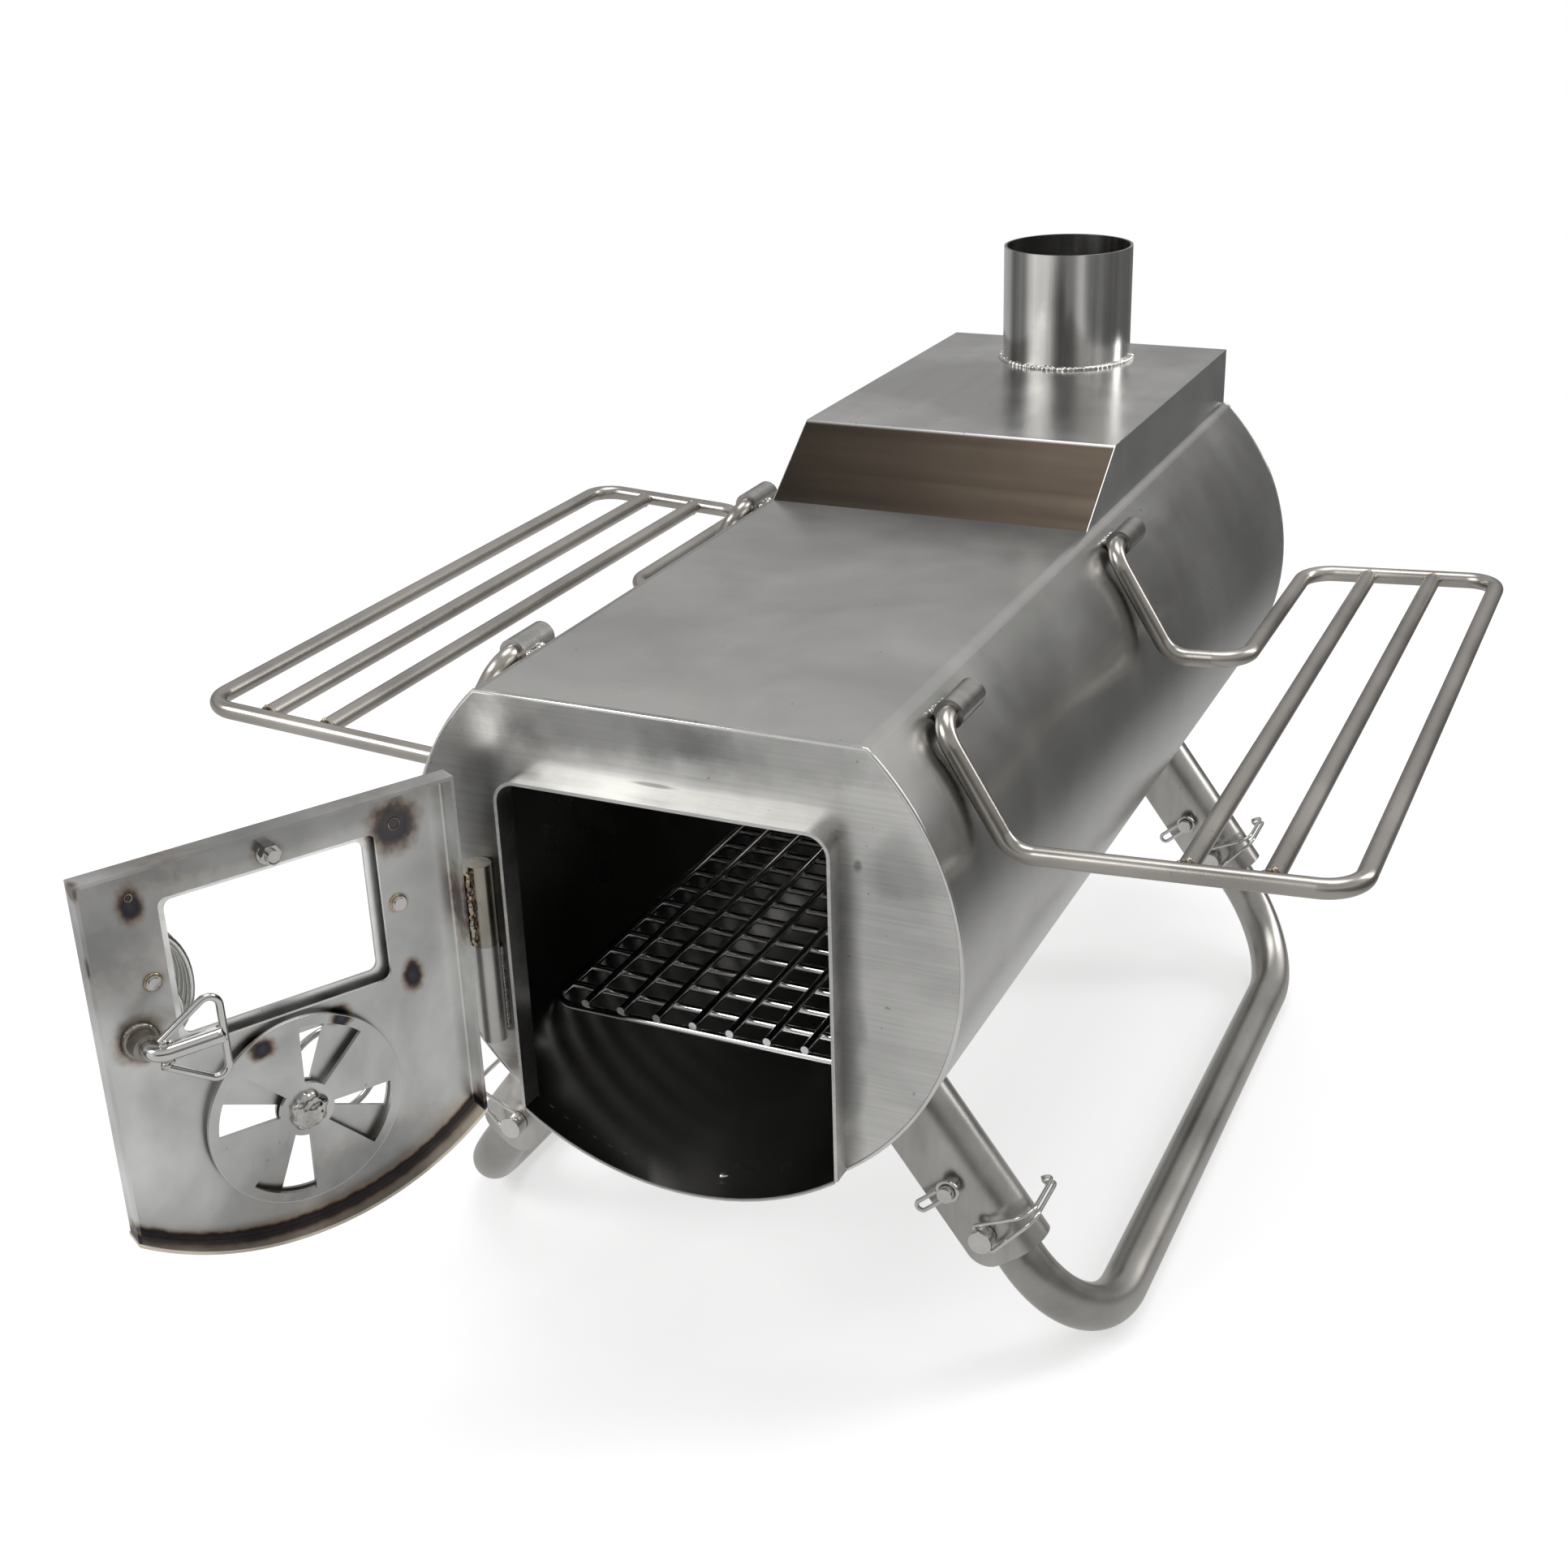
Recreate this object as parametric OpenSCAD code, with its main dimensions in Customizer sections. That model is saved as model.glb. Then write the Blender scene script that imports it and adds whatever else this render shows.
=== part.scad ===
// Tent wood stove: a lying barrel firebox on folding tube legs, with a smoke box,
// a flue collar, two hinged side racks and a front door that stands open.
// X runs across the stove, Y from the front plate to the back, Z up from the ground.

/* [Barrel] */
// Outside radius of the barrel
barrel_r = 100; // [80:1:140]
// Length from the front plate's face to the back plate's face
barrel_len = 443; // [400:1:520]
// Height of the flat cooking top above the barrel axis
flat_z = 72.6; // [60:0.1:78]
// Bend radius where the round shell meets the flat top
flat_bend_r = 6; // [3:0.5:10]
// Sheet thickness of the shell and the plates
sheet = 1.2; // [0.8:0.1:2]
// Half width of the smoke port cut in the flat top
port_half_w = 50; // [30:1:60]
// Distance from the port's edges to the smoke box walls
port_margin = 16; // [10:1:24]

/* [Front opening] */
// Half width of the firebox opening
opening_half_w = 58.6; // [50:0.2:62]
// Height of the opening's top edge above the barrel axis
opening_top_z = 44.1; // [36:0.1:50]
// Radius of the opening's top corners
opening_corner_r = 7; // [4:0.5:12]
// How far the lip stands out in front of the plate
lip_out = 7.9; // [5:0.1:8.5]

/* [Smoke box] */
// Where the sloped front starts, behind the front plate
box_y = 226.5; // [200:0.5:250]
// Length of the sloped front along the barrel
box_slope_len = 35.5; // [20:0.5:45]
// Height of the smoke box over the flat top
box_h = 25.1; // [15:0.1:35]
// How far the smoke box's sides stand inside the flat top's edges
box_inset = 1.6; // [0.5:0.1:8]

/* [Flue collar] */
// Outside radius of the collar that the flue pipe slips over
collar_r = 29.3; // [24:0.1:34]
// Height of the collar over the smoke box
collar_h = 51.1; // [35:0.1:70]
// Distance of the collar's axis from the back plate's face
collar_back = 34.5; // [34:0.1:45]

/* [Racks] */
// Radius of the rack rods
rod_r = 3.25; // [2.5:0.05:4]
// Outside radius of the short sleeves that carry a rack
sleeve_r = 5; // [4.6:0.1:6.5]
// Length of each sleeve
sleeve_len = 20.3; // [14:0.1:28]
// Angle round the barrel from the flat top's edge down to the sleeves
sleeve_below = 5.75; // [4:0.05:10]
// Distance of the front arm's plane behind the front plate's face
rack_y = 32.5; // [20:0.5:50]
// Distance of the rear arm's plane behind the front arm's plane
rack_arm_gap = 185.8; // [160:0.2:190]
// Length of the rack along the barrel, between rod centres
rack_len = 299.5; // [260:0.5:330]
// Reach of the rack beyond its elbows
rack_reach = 106.3; // [90:0.1:140]
// Distance between neighbouring bars of the rack
rack_pitch = 25.9; // [20:0.1:30]
// Angle round the barrel from the sleeves down to the elbows
elbow_below = 25.7; // [20:0.1:28]
// Gap between the barrel and an elbow before the rack is tilted
elbow_gap = 2.4; // [2:0.1:8]
// Upward tilt of the rack about its sleeves
rack_tilt = 3.2; // [0:0.1:6]
// Centreline bend radius at the sleeves
sleeve_bend_r = 8.5; // [6:0.5:9]
// Centreline bend radius of the elbows and the corners
rack_bend_r = 12; // [8:0.5:12.5]

/* [Legs] */
// Outside radius of the leg tube
leg_r = 8.6; // [7:0.1:9]
// Wall of the leg tube
leg_wall = 1.2; // [0.8:0.1:2]
// Angle of the legs and their brackets below the horizontal
leg_angle = 53.5; // [45:0.5:60]
// Distance of the pivot pins from the barrel axis
pivot_along = 133.5; // [125:0.5:145]
// Sideways place of the pins in the bracket
pivot_perp = 3; // [0:0.1:4]
// Distance from a pivot pin to the ground bar's centre
leg_drop = 81.4; // [75:0.1:100]
// Stub of tube above the pivot pin
leg_stub = 6.5; // [5:0.1:6.8]
// Centreline bend radius of the leg tube
leg_bend_r = 43; // [30:1:50]
// Place of the front arms behind the front plate's face
leg_front_y = 49.2; // [40:0.1:60]
// Place of the rear arms behind the front plate's face
leg_rear_y = 365.9; // [340:0.1:380]

/* [Leg brackets] */
// Side clearance between a leg tube and its bracket
bracket_clear = 0.4; // [0.3:0.05:1]
// Sheet thickness of a bracket
bracket_wall = 1.5; // [1:0.1:2]
// Distance from the pin line to the bracket's rounded back
bracket_back = 15; // [14.7:0.1:17]
// Distance from the pin line to the bracket's open edge
bracket_edge = 11; // [9:0.5:13]
// Length of bracket past the lock pin
bracket_end = 12.5; // [10:0.5:16]
// Radius of the bracket's rounded inner corner
bracket_corner_r = 8; // [4:0.5:10]

/* [Leg pins] */
// Radius of the pivot pins
pivot_r = 2.75; // [2:0.05:3.2]
// Radius of the lock pins
lock_r = 2.8; // [2:0.05:3.2]
// Distance between a pivot pin and its lock pin
lock_along = 21; // [18:0.5:24]
// Radius of a lock pin's head
lock_head_r = 4.2; // [3.6:0.1:5]
// Length of a lock pin's head
lock_head_len = 5.5; // [4:0.1:7]
// How far a pivot pin stands out in front of its bracket
pivot_out = 7; // [5:0.5:9]
// How far a lock pin stands out behind its bracket
lock_out = 4; // [3:0.5:6]
// Radius of the spring wire of the bails
bail_r = 0.75; // [0.6:0.05:1]
// Gap between a bracket's rounded back and the bail's loop
bail_gap = 7; // [4:0.5:10]
// Radius of the cotter wire
cotter_r = 0.8; // [0.6:0.05:1]
// Length of a cotter's eye
cotter_len = 11; // [8:0.5:14]
// Angle from the leg's line to a cotter's eye
cotter_lean = 85; // [60:5:110]

/* [Door] */
// Half width of the door
door_half_w = 62.6; // [62:0.1:66]
// Height of the door's top edge above the barrel axis
door_top_z = 47; // [46.8:0.1:54]
// Outside bend radius along the door's edges
door_bend_r = 2; // [1.4:0.1:3]
// Gap between the closed door's plate and the lip
lip_gap = 0.3; // [0.2:0.05:0.6]
// Gap between the closed door's rim and the front plate
rim_gap = 0.5; // [0.3:0.05:1]
// How far the door stands open
door_open = 119; // [0:1:140]
// Gap between the barrel and the door's curved bottom strip
strip_gap = 0.8; // [0.6:0.1:2]

/* [Hinge] */
// Outside radius of the hinge knuckles
knuckle_r = 4.4; // [3.6:0.1:5]
// Space between the door's edge and the hinge, bridged by the weld
hinge_stand = 3.4; // [0.3:0.1:5]
// Width of the weld between the upper knuckle and the door's edge
hinge_weld_w = 4; // [2:0.5:6]
// Radius of the hinge pin
hinge_pin_r = 2.4; // [1.8:0.1:3]
// Top of the upper knuckle above the barrel axis
knuckle_top_z = 11.7; // [0:0.1:20]
// Length of the upper knuckle on the door
upper_knuckle_len = 30.1; // [20:0.1:40]
// Length of the lower knuckle on the stove
lower_knuckle_len = 37.2; // [25:0.1:40]
// Closed end of the upper knuckle above the pin
knuckle_cap = 3; // [2:0.1:5]

/* [Window] */
// Width of the window cut in the door plate
window_w = 73; // [60:0.5:76]
// Height of door plate left above the window cut
window_head = 15.4; // [10:0.1:24]
// Rise of the window cut's lower edge over the top of the damper disc
window_rise = 0.6; // [0:0.1:4]
// Radius of the window's corners
window_corner_r = 3; // [1:0.5:6]
// Thickness of the glass
glass_t = 3; // [2:0.5:5]
// How far the glass reaches past the window cut
glass_lap = 3; // [2:0.5:4]
// Width of the retainer's border outside the glass
retainer_border = 3.5; // [3:0.5:6]
// How far the retainer's opening lies inside the window cut at the sides
retainer_lap = 3; // [1:0.5:5]
// Radius of the window bolts
bolt_r = 2; // [1.5:0.1:2.5]

/* [Damper] */
// Gap between the damper disc and the door's curved lower edge
damper_edge = 10.3; // [4:0.1:14]
// Radius of the damper disc
damper_r = 34; // [32:0.5:37]
// Thickness of the damper disc
damper_t = 1.5; // [1:0.1:2.5]
// Space between the disc and the door plate
damper_space = 2; // [1:0.1:3]
// Inner radius of the air slots
slot_in_r = 9.5; // [8:0.5:12]
// Outer radius of the air slots
slot_out_r = 30.5; // [28:0.5:33]
// Angle that one air slot spans
slot_span = 44; // [30:1:45]
// Turn of the disc from the place where its slots meet the door's
damper_turn = 23.5; // [0:0.5:45]
// Radius of the damper's centre pin
hub_r = 3; // [2:0.1:4]
// Radius of the pin's head inside the door
hub_head_r = 5; // [4:0.1:6]
// Height of the pin's head inside the door
hub_head_t = 2.5; // [1:0.1:3]
// Radius of the damper's wire ring handle
ring_r = 16.6; // [12:0.1:20]
// Distance of the ring handle outside the door plate
ring_out = 12; // [8:0.5:20]
// Radius of the ring handle's wire
ring_wire_r = 1.2; // [0.8:0.1:1.6]

/* [Latch] */
// Place of the latch shaft from the door's middle
latch_x = 48.8; // [46:0.1:50]
// Drop of the latch shaft below the barrel axis
latch_drop = 13.2; // [8:0.1:14]
// Radius of the latch shaft and its catch rod
latch_r = 2.8; // [2:0.1:3.2]
// Outside radius of the latch boss
boss_r = 4.6; // [4.2:0.1:5.5]
// Length of the latch boss inside the door
boss_len = 7; // [5:0.1:8]
// Gap between the catch rod and the back of the front plate when latched
catch_gap = 0.4; // [0.3:0.05:1]
// Reach of the catch rod from the shaft
catch_reach = 21; // [18:0.5:24]
// Half height of the catch's wire triangle
catch_half_h = 17.5; // [12:0.5:20]
// Radius of the catch's wire
catch_wire_r = 1.3; // [0.8:0.1:1.6]
// Half width of the oval turns of the wound handle
handle_half_w = 12.9; // [11:0.1:14]
// Half height of the oval turns of the wound handle
handle_half_h = 20; // [16:0.1:24]
// Place of the turns' middle beside the latch's axis
handle_off_x = -10.4; // [-11:0.1:0]
// Place of the turns' middle above the latch's axis
handle_off_z = 7.7; // [0:0.1:9]
// Wire radius of the wound handle
handle_wire_r = 1.2; // [0.8:0.1:1.4]
// Rise of the wound handle for each turn
handle_pitch = 3.8; // [3.6:0.1:5]
// Full turns of the wound handle
handle_turns = 4; // [2:1:6]
// Distance of the first turn outside the door plate
handle_out = 8; // [7.5:0.5:20]

/* [Grate] */
// Radius of the grate's wires
wire_r = 1.5; // [1:0.1:2]
// Half width of the grate
grate_half_w = 72.5; // [60:0.5:76]
// Distance of the grate's front wire behind the front plate's face
grate_front_y = 37; // [34:0.5:60]
// Distance of the grate's rear wire in front of the back plate's face
grate_back = 38; // [34:0.5:60]
// Spaces between the long wires
grate_cols = 10; // [6:1:12]
// Spaces between the cross wires
grate_rows = 26; // [16:1:30]
// Corner radius of the grate's border wire
grate_corner_r = 8; // [5:0.5:12]

/* [Hidden] */
$fn = 64;

// Clearances that several fits share
cut = 1;              // overrun of every through cut
weld_gap = 0.1;       // between a welded piece and a curved wall
run_gap = 0.08;       // round a shaft that turns
seat_gap = 0.05;      // round a pin that stays put
rest_gap = 0.3;       // between pieces that only lie close
bend_swell = 0.01;    // a bend is this much thicker than its straights
bend_sink = 0.05;     // and takes this much of each straight's end

// Places along and across the stove
axis_z = pivot_along * sin(leg_angle) + leg_drop * sin(leg_angle) - pivot_perp * cos(leg_angle) + leg_r;
flat_inner_z = flat_z - sheet;
box_top_z = flat_z + box_h;
box_half_w = sqrt(pow(barrel_r, 2) - pow(flat_z, 2)) - box_inset;
collar_y = barrel_len - collar_back;
door_in_y = -lip_out - lip_gap;
door_out_y = door_in_y - sheet;
rim_y = -rim_gap;
damper_drop = barrel_r + strip_gap - damper_edge - damper_r;
window_top_z = door_top_z - window_head;
window_low_z = window_rise + damper_r - damper_drop;
window_h = window_top_z - window_low_z;
window_z = (window_top_z + window_low_z) / 2;
hinge_x = -door_half_w - hinge_stand - knuckle_r;
hinge_y = -knuckle_r - rest_gap;
knuckle_low_z = knuckle_top_z - upper_knuckle_len;
// Front reach of the open door's free edge
door_front_y = hinge_y - (door_half_w - hinge_x) * sin(door_open) + (rim_y - hinge_y) * cos(door_open);
mid_y = (door_front_y + barrel_len) / 2;

// Sleeve axis beside the barrel
sleeve_axis_r = barrel_r + sleeve_r + rest_gap;
sleeve_angle = asin(flat_z / barrel_r) - sleeve_below;
sleeve_x = sleeve_axis_r * cos(sleeve_angle);
sleeve_z = sleeve_axis_r * sin(sleeve_angle);
elbow_axis_r = barrel_r + rod_r + elbow_gap;
elbow_x = elbow_axis_r * cos(sleeve_angle - elbow_below);
rack_drop = sleeve_z - elbow_axis_r * sin(sleeve_angle - elbow_below);
rack_outer_x = elbow_x + rack_reach;

// Bracket places in the leg's own frame, x along the leg and z to its outer side
lock_x = pivot_along + lock_along;
bracket_half_w = leg_r + bracket_clear + bracket_wall;
bracket_len = lock_x + bracket_end;

// Latch and damper places on the door
boss_end_y = door_in_y + boss_len;
catch_y = sheet + catch_gap + latch_r;
damper_in_y = door_in_y + damper_space;
ring_y = door_out_y - ring_out;

// Grate level where its border wire rests on the shell
grate_z = -sqrt(pow(barrel_r - sheet - wire_r - rest_gap, 2) - pow(grate_half_w, 2));
grate_rear_y = barrel_len - grate_back;

function unit(v) = v / norm(v);
function turn_angle(a, b, c) = acos(unit(b - a) * unit(c - b));
function bend_trim(a, b, c, bend) = bend * tan(turn_angle(a, b, c) / 2);

// The model is drawn from the barrel axis and the front plate, then set on the ground
module on_ground() translate([0, -mid_y, axis_z]) children();
module right() on_ground() children();
module left() on_ground() mirror([1, 0, 0]) children();
// Frame of a leg: x along it from the barrel axis, z to its outer side
module leg_frame() rotate([0, leg_angle, 0]) children();
// Frame of the door, drawn closed and swung open about the hinge
module on_door() on_ground()
    translate([hinge_x, hinge_y, 0]) rotate([0, 0, -door_open]) translate([-hinge_x, -hinge_y, 0]) children();
// Frame of a rack, drawn level and tilted about its sleeves
module rack_frame_at() translate([sleeve_x, 0, sleeve_z]) rotate([0, -rack_tilt, 0]) children();

// Slab of a flat outline drawn in x and z, from y0 back to y1
module plate_y(y0, y1) translate([0, y1, 0]) rotate([90, 0, 0]) linear_extrude(y1 - y0) children();
// Round bar or hole along y
module rod_y(r, y0, y1) translate([0, y1, 0]) rotate([90, 0, 0]) cylinder(h = y1 - y0, r = r);

// Straight rod between two points
module rod_between(a, b, r) {
    d = b - a;
    translate(a) rotate([0, acos(d.z / norm(d)), atan2(d.y, d.x)]) cylinder(h = norm(d), r = r);
}

// Bend of a rod at point b, coming from a and leaving to c
module rod_bend(a, b, c, bend, r) {
    along = unit(b - a);
    out = unit(c - b);
    side = unit(out - along * (out * along));
    centre = b - along * bend_trim(a, b, c, bend) + side * bend;
    up = cross(-side, along);
    multmatrix([
        [-side.x, along.x, up.x, centre.x],
        [-side.y, along.y, up.y, centre.y],
        [-side.z, along.z, up.z, centre.z],
        [0, 0, 0, 1]
    ]) rotate_extrude(angle = turn_angle(a, b, c)) translate([bend, 0]) circle(r + bend_swell);
}

// Rod through a list of points, bent at each inner point
module bent_rod(pts, bends, r) {
    last = len(pts) - 1;
    for (i = [0 : last - 1]) {
        d = unit(pts[i + 1] - pts[i]);
        trim_a = i == 0 ? 0 : bend_trim(pts[i - 1], pts[i], pts[i + 1], bends[i - 1]) - bend_sink;
        trim_b = i == last - 1 ? 0 : bend_trim(pts[i], pts[i + 1], pts[i + 2], bends[i]) - bend_sink;
        rod_between(pts[i] + d * trim_a, pts[i + 1] - d * trim_b, r);
    }
    for (i = [1 : last - 1]) rod_bend(pts[i - 1], pts[i], pts[i + 1], bends[i - 1], r);
}

// Cross-section of the barrel: a circle with a flat top and bent corners
module barrel_section(r, top, bend) {
    cx = sqrt(pow(r - bend, 2) - pow(top - bend, 2));
    cz = top - bend;
    tip = [cx, cz] * r / (r - bend);
    intersection() {
        circle(r, $fn = 180);
        polygon([
            [-cx, top], [cx, top], tip, 2 * tip, [2 * r, -2 * r],
            [-2 * r, -2 * r], [-2 * tip.x, 2 * tip.y], [-tip.x, tip.y]
        ]);
    }
    for (s = [-1, 1]) translate([s * cx, cz]) circle(bend);
}

// Outline with a flat foot far below and two rounded top corners
module arch(half_w, top, bend, foot) {
    translate([-half_w, foot]) square([2 * half_w, top - bend - foot]);
    translate([-half_w + bend, foot]) square([2 * (half_w - bend), top - foot]);
    for (s = [-1, 1]) translate([s * (half_w - bend), top - bend]) circle(bend);
}

// Rounded rectangle about the origin
module round_rect(w, h, bend) {
    square([w - 2 * bend, h], center = true);
    square([w, h - 2 * bend], center = true);
    for (sx = [-1, 1]) for (sz = [-1, 1])
        translate([sx * (w / 2 - bend), sz * (h / 2 - bend)]) circle(bend);
}

// Firebox shell: rolled sheet, its bottom drawn forward to the lip's edge
module barrel_shell() color("gray") on_ground() {
    difference() {
        plate_y(sheet, barrel_len - sheet) difference() {
            barrel_section(barrel_r, flat_z, flat_bend_r);
            barrel_section(barrel_r - sheet, flat_inner_z, flat_bend_r - sheet);
        }
        translate([-port_half_w, box_y + box_slope_len / 2 + port_margin, flat_inner_z - cut])
            cube([2 * port_half_w, barrel_len - box_y - box_slope_len / 2 - 2 * port_margin, sheet + 2 * cut]);
    }
    plate_y(-lip_out, sheet) intersection() {
        difference() {
            circle(barrel_r, $fn = 180);
            circle(barrel_r - sheet, $fn = 180);
        }
        translate([-opening_half_w + seat_gap, -2 * barrel_r])
            square([2 * (opening_half_w - seat_gap), 2 * barrel_r]);
    }
}

// Front plate with the lip of the firebox opening
module front_plate() {
    foot_z = rest_gap - sqrt(pow(barrel_r, 2) - pow(opening_half_w + sheet, 2));
    color("lightgray") on_ground() {
        plate_y(0, sheet) difference() {
            barrel_section(barrel_r, flat_z, flat_bend_r);
            arch(opening_half_w, opening_top_z, opening_corner_r, -2 * barrel_r);
        }
        plate_y(-lip_out, 0) difference() {
            arch(opening_half_w + sheet, opening_top_z + sheet, opening_corner_r + sheet, foot_z);
            arch(opening_half_w, opening_top_z, opening_corner_r, foot_z - cut);
        }
    }
}

module back_plate() color("lightgray") on_ground()
    plate_y(barrel_len - sheet, barrel_len) barrel_section(barrel_r, flat_z, flat_bend_r);

// Smoke box: sheet cover with a sloped front, open below to the smoke port
module smoke_box() {
    slope_run = box_slope_len / box_h;
    wall_run = sheet * sqrt(1 + slope_run * slope_run);
    color("darkgray") on_ground() difference() {
        translate([-box_half_w, 0, 0]) rotate([90, 0, 90]) linear_extrude(2 * box_half_w) polygon([
            [box_y, flat_z], [box_y + box_slope_len, box_top_z],
            [barrel_len, box_top_z], [barrel_len, flat_z]
        ]);
        translate([-box_half_w + sheet, 0, 0]) rotate([90, 0, 90])
            linear_extrude(2 * (box_half_w - sheet)) polygon([
                [box_y + wall_run - cut * slope_run, flat_z - cut],
                [box_y + wall_run + (box_h - sheet) * slope_run, box_top_z - sheet],
                [barrel_len - sheet, box_top_z - sheet], [barrel_len - sheet, flat_z - cut]
            ]);
        translate([0, collar_y, flat_z]) cylinder(h = box_h + cut, r = collar_r - sheet, $fn = 96);
    }
}

module flue_collar() color("silver") on_ground() translate([0, collar_y, box_top_z]) difference() {
    cylinder(h = collar_h, r = collar_r, $fn = 96);
    translate([0, 0, -cut]) cylinder(h = collar_h + 2 * cut, r = collar_r - sheet, $fn = 96);
}

// Sleeve that a rack's rod end turns in, y0 at its front end
module rack_sleeve(y0) translate([sleeve_x, 0, sleeve_z]) difference() {
    rod_y(sleeve_r, y0, y0 + sleeve_len);
    rod_y(rod_r + run_gap, y0 - cut, y0 + sleeve_len + cut);
}
sleeve_front_y = rack_y + sleeve_bend_r + rest_gap;
sleeve_rear_y = sleeve_front_y + rack_arm_gap;
module right_front_sleeve() color("silver") right() rack_sleeve(sleeve_front_y);
module right_rear_sleeve() color("silver") right() rack_sleeve(sleeve_rear_y);
module left_front_sleeve() color("silver") left() rack_sleeve(sleeve_front_y);
module left_rear_sleeve() color("silver") left() rack_sleeve(sleeve_rear_y);

// Bracket: folded channel, rounded back outward, welded under the barrel
module leg_bracket(y) {
    edge = pivot_perp - bracket_edge;
    round_z = pivot_perp + bracket_back - bracket_half_w;
    inner = bracket_half_w - bracket_wall;
    translate([0, y, 0]) leg_frame() difference() {
        rotate([90, 0, 90]) linear_extrude(bracket_len) difference() {
            union() {
                translate([0, round_z]) circle(bracket_half_w);
                translate([-bracket_half_w, edge]) square([2 * bracket_half_w, round_z - edge]);
            }
            translate([0, round_z]) circle(inner);
            translate([-inner, edge - cut]) square([2 * inner, round_z - edge + cut]);
        }
        rod_y(barrel_r + weld_gap, -2 * bracket_half_w, 2 * bracket_half_w, $fn = 180);
        translate([pivot_along, 0, pivot_perp]) rod_y(pivot_r + seat_gap, -2 * bracket_half_w, 2 * bracket_half_w);
        translate([lock_x, 0, pivot_perp]) rod_y(lock_r + run_gap, -2 * bracket_half_w, 2 * bracket_half_w);
        translate([bracket_len - bracket_corner_r, 0, edge + bracket_corner_r])
            plate_y(-2 * bracket_half_w, 2 * bracket_half_w) difference() {
                translate([0, -2 * bracket_corner_r]) square(2 * bracket_corner_r);
                circle(bracket_corner_r);
            }
    }
}
module right_front_bracket() color("silver") right() leg_bracket(leg_front_y);
module right_rear_bracket() color("silver") right() leg_bracket(leg_rear_y);
module left_front_bracket() color("silver") left() leg_bracket(leg_front_y);
module left_rear_bracket() color("silver") left() leg_bracket(leg_rear_y);

// Pivot pin: round pin with a head behind the bracket
module pivot_pin(y) translate([0, y, 0]) leg_frame() translate([pivot_along, 0, pivot_perp]) {
    rod_y(pivot_r, -bracket_half_w - pivot_out, bracket_half_w + rest_gap);
    rod_y(pivot_r * 1.6, bracket_half_w + rest_gap, bracket_half_w + rest_gap + pivot_r);
}
module right_front_pivot_pin() color("silver") right() pivot_pin(leg_front_y);
module right_rear_pivot_pin() color("silver") right() pivot_pin(leg_rear_y);
module left_front_pivot_pin() color("silver") left() pivot_pin(leg_front_y);
module left_rear_pivot_pin() color("silver") left() pivot_pin(leg_rear_y);

// Split cotter: legs bent round the pin's end, its long eye hanging below
module cotter(y) {
    ring = pivot_r + cotter_r + seat_gap;
    half_eye = 2.4 * cotter_r;
    drop = ring + cotter_len - half_eye;
    translate([0, y - bracket_half_w - pivot_out / 2, 0]) leg_frame()
        translate([pivot_along, 0, pivot_perp]) rotate([90, 0, 0]) {
            rotate_extrude() translate([ring, 0]) circle(cotter_r, $fn = 24);
            rotate([0, 0, -cotter_lean]) bent_rod([
                [ring, half_eye, 0], [drop + half_eye, half_eye, 0],
                [drop + half_eye, -half_eye, 0], [ring, -half_eye, 0]
            ], [half_eye * 0.99, half_eye * 0.99], cotter_r, $fn = 24);
        }
}
module right_front_cotter() color("gainsboro") right() cotter(leg_front_y);
module right_rear_cotter() color("gainsboro") right() cotter(leg_rear_y);
module left_front_cotter() color("gainsboro") left() cotter(leg_front_y);
module left_rear_cotter() color("gainsboro") left() cotter(leg_rear_y);

module hinge_knuckle_lower() color("gray") on_ground() translate([hinge_x, hinge_y, 0]) difference() {
    translate([0, 0, knuckle_low_z - seat_gap - lower_knuckle_len]) cylinder(h = lower_knuckle_len, r = knuckle_r);
    translate([0, 0, knuckle_low_z - 2 * lower_knuckle_len])
        cylinder(h = 3 * lower_knuckle_len, r = hinge_pin_r + seat_gap);
}

module hinge_pin() color("silver") on_ground()
    translate([hinge_x, hinge_y, knuckle_low_z - seat_gap - lower_knuckle_len])
        cylinder(h = lower_knuckle_len + upper_knuckle_len - knuckle_cap, r = hinge_pin_r);

module hinge_knuckle_upper() color("gray") on_door()
    translate([hinge_x, hinge_y, knuckle_low_z]) difference() {
        union() {
            cylinder(h = upper_knuckle_len, r = knuckle_r);
            translate([0, -hinge_weld_w / 2, knuckle_cap])
                cube([knuckle_r + hinge_stand - rest_gap, hinge_weld_w, upper_knuckle_len - 2 * knuckle_cap]);
        }
        translate([0, 0, -cut]) cylinder(h = upper_knuckle_len - knuckle_cap + cut, r = hinge_pin_r + run_gap);
    }

// Grate: a bent border wire, cross wires inside it and long wires laid on top
module grate_border() color("silver") on_ground() {
    pts = [
        [0, grate_front_y, grate_z], [grate_half_w, grate_front_y, grate_z],
        [grate_half_w, grate_rear_y, grate_z], [-grate_half_w, grate_rear_y, grate_z],
        [-grate_half_w, grate_front_y, grate_z], [0, grate_front_y, grate_z]
    ];
    bent_rod(pts, [for (i = [1 : 4]) grate_corner_r], wire_r, $fn = 24);
}

module grate_long_wires() color("silver") on_ground() {
    pitch = 2 * grate_half_w / grate_cols;
    for (i = [1 : grate_cols - 1])
        translate([-grate_half_w + i * pitch, 0, grate_z + 2 * wire_r + seat_gap])
            rod_y(wire_r, grate_front_y - wire_r, grate_rear_y + wire_r, $fn = 24);
}

module grate_cross_wires() color("silver") on_ground() {
    pitch = (grate_rear_y - grate_front_y) / grate_rows;
    half = grate_half_w - wire_r - seat_gap;
    for (i = [1 : grate_rows - 1])
        translate([-half, grate_front_y + i * pitch, grate_z])
            rotate([0, 90, 0]) cylinder(h = 2 * half, r = wire_r, $fn = 24);
}

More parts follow.
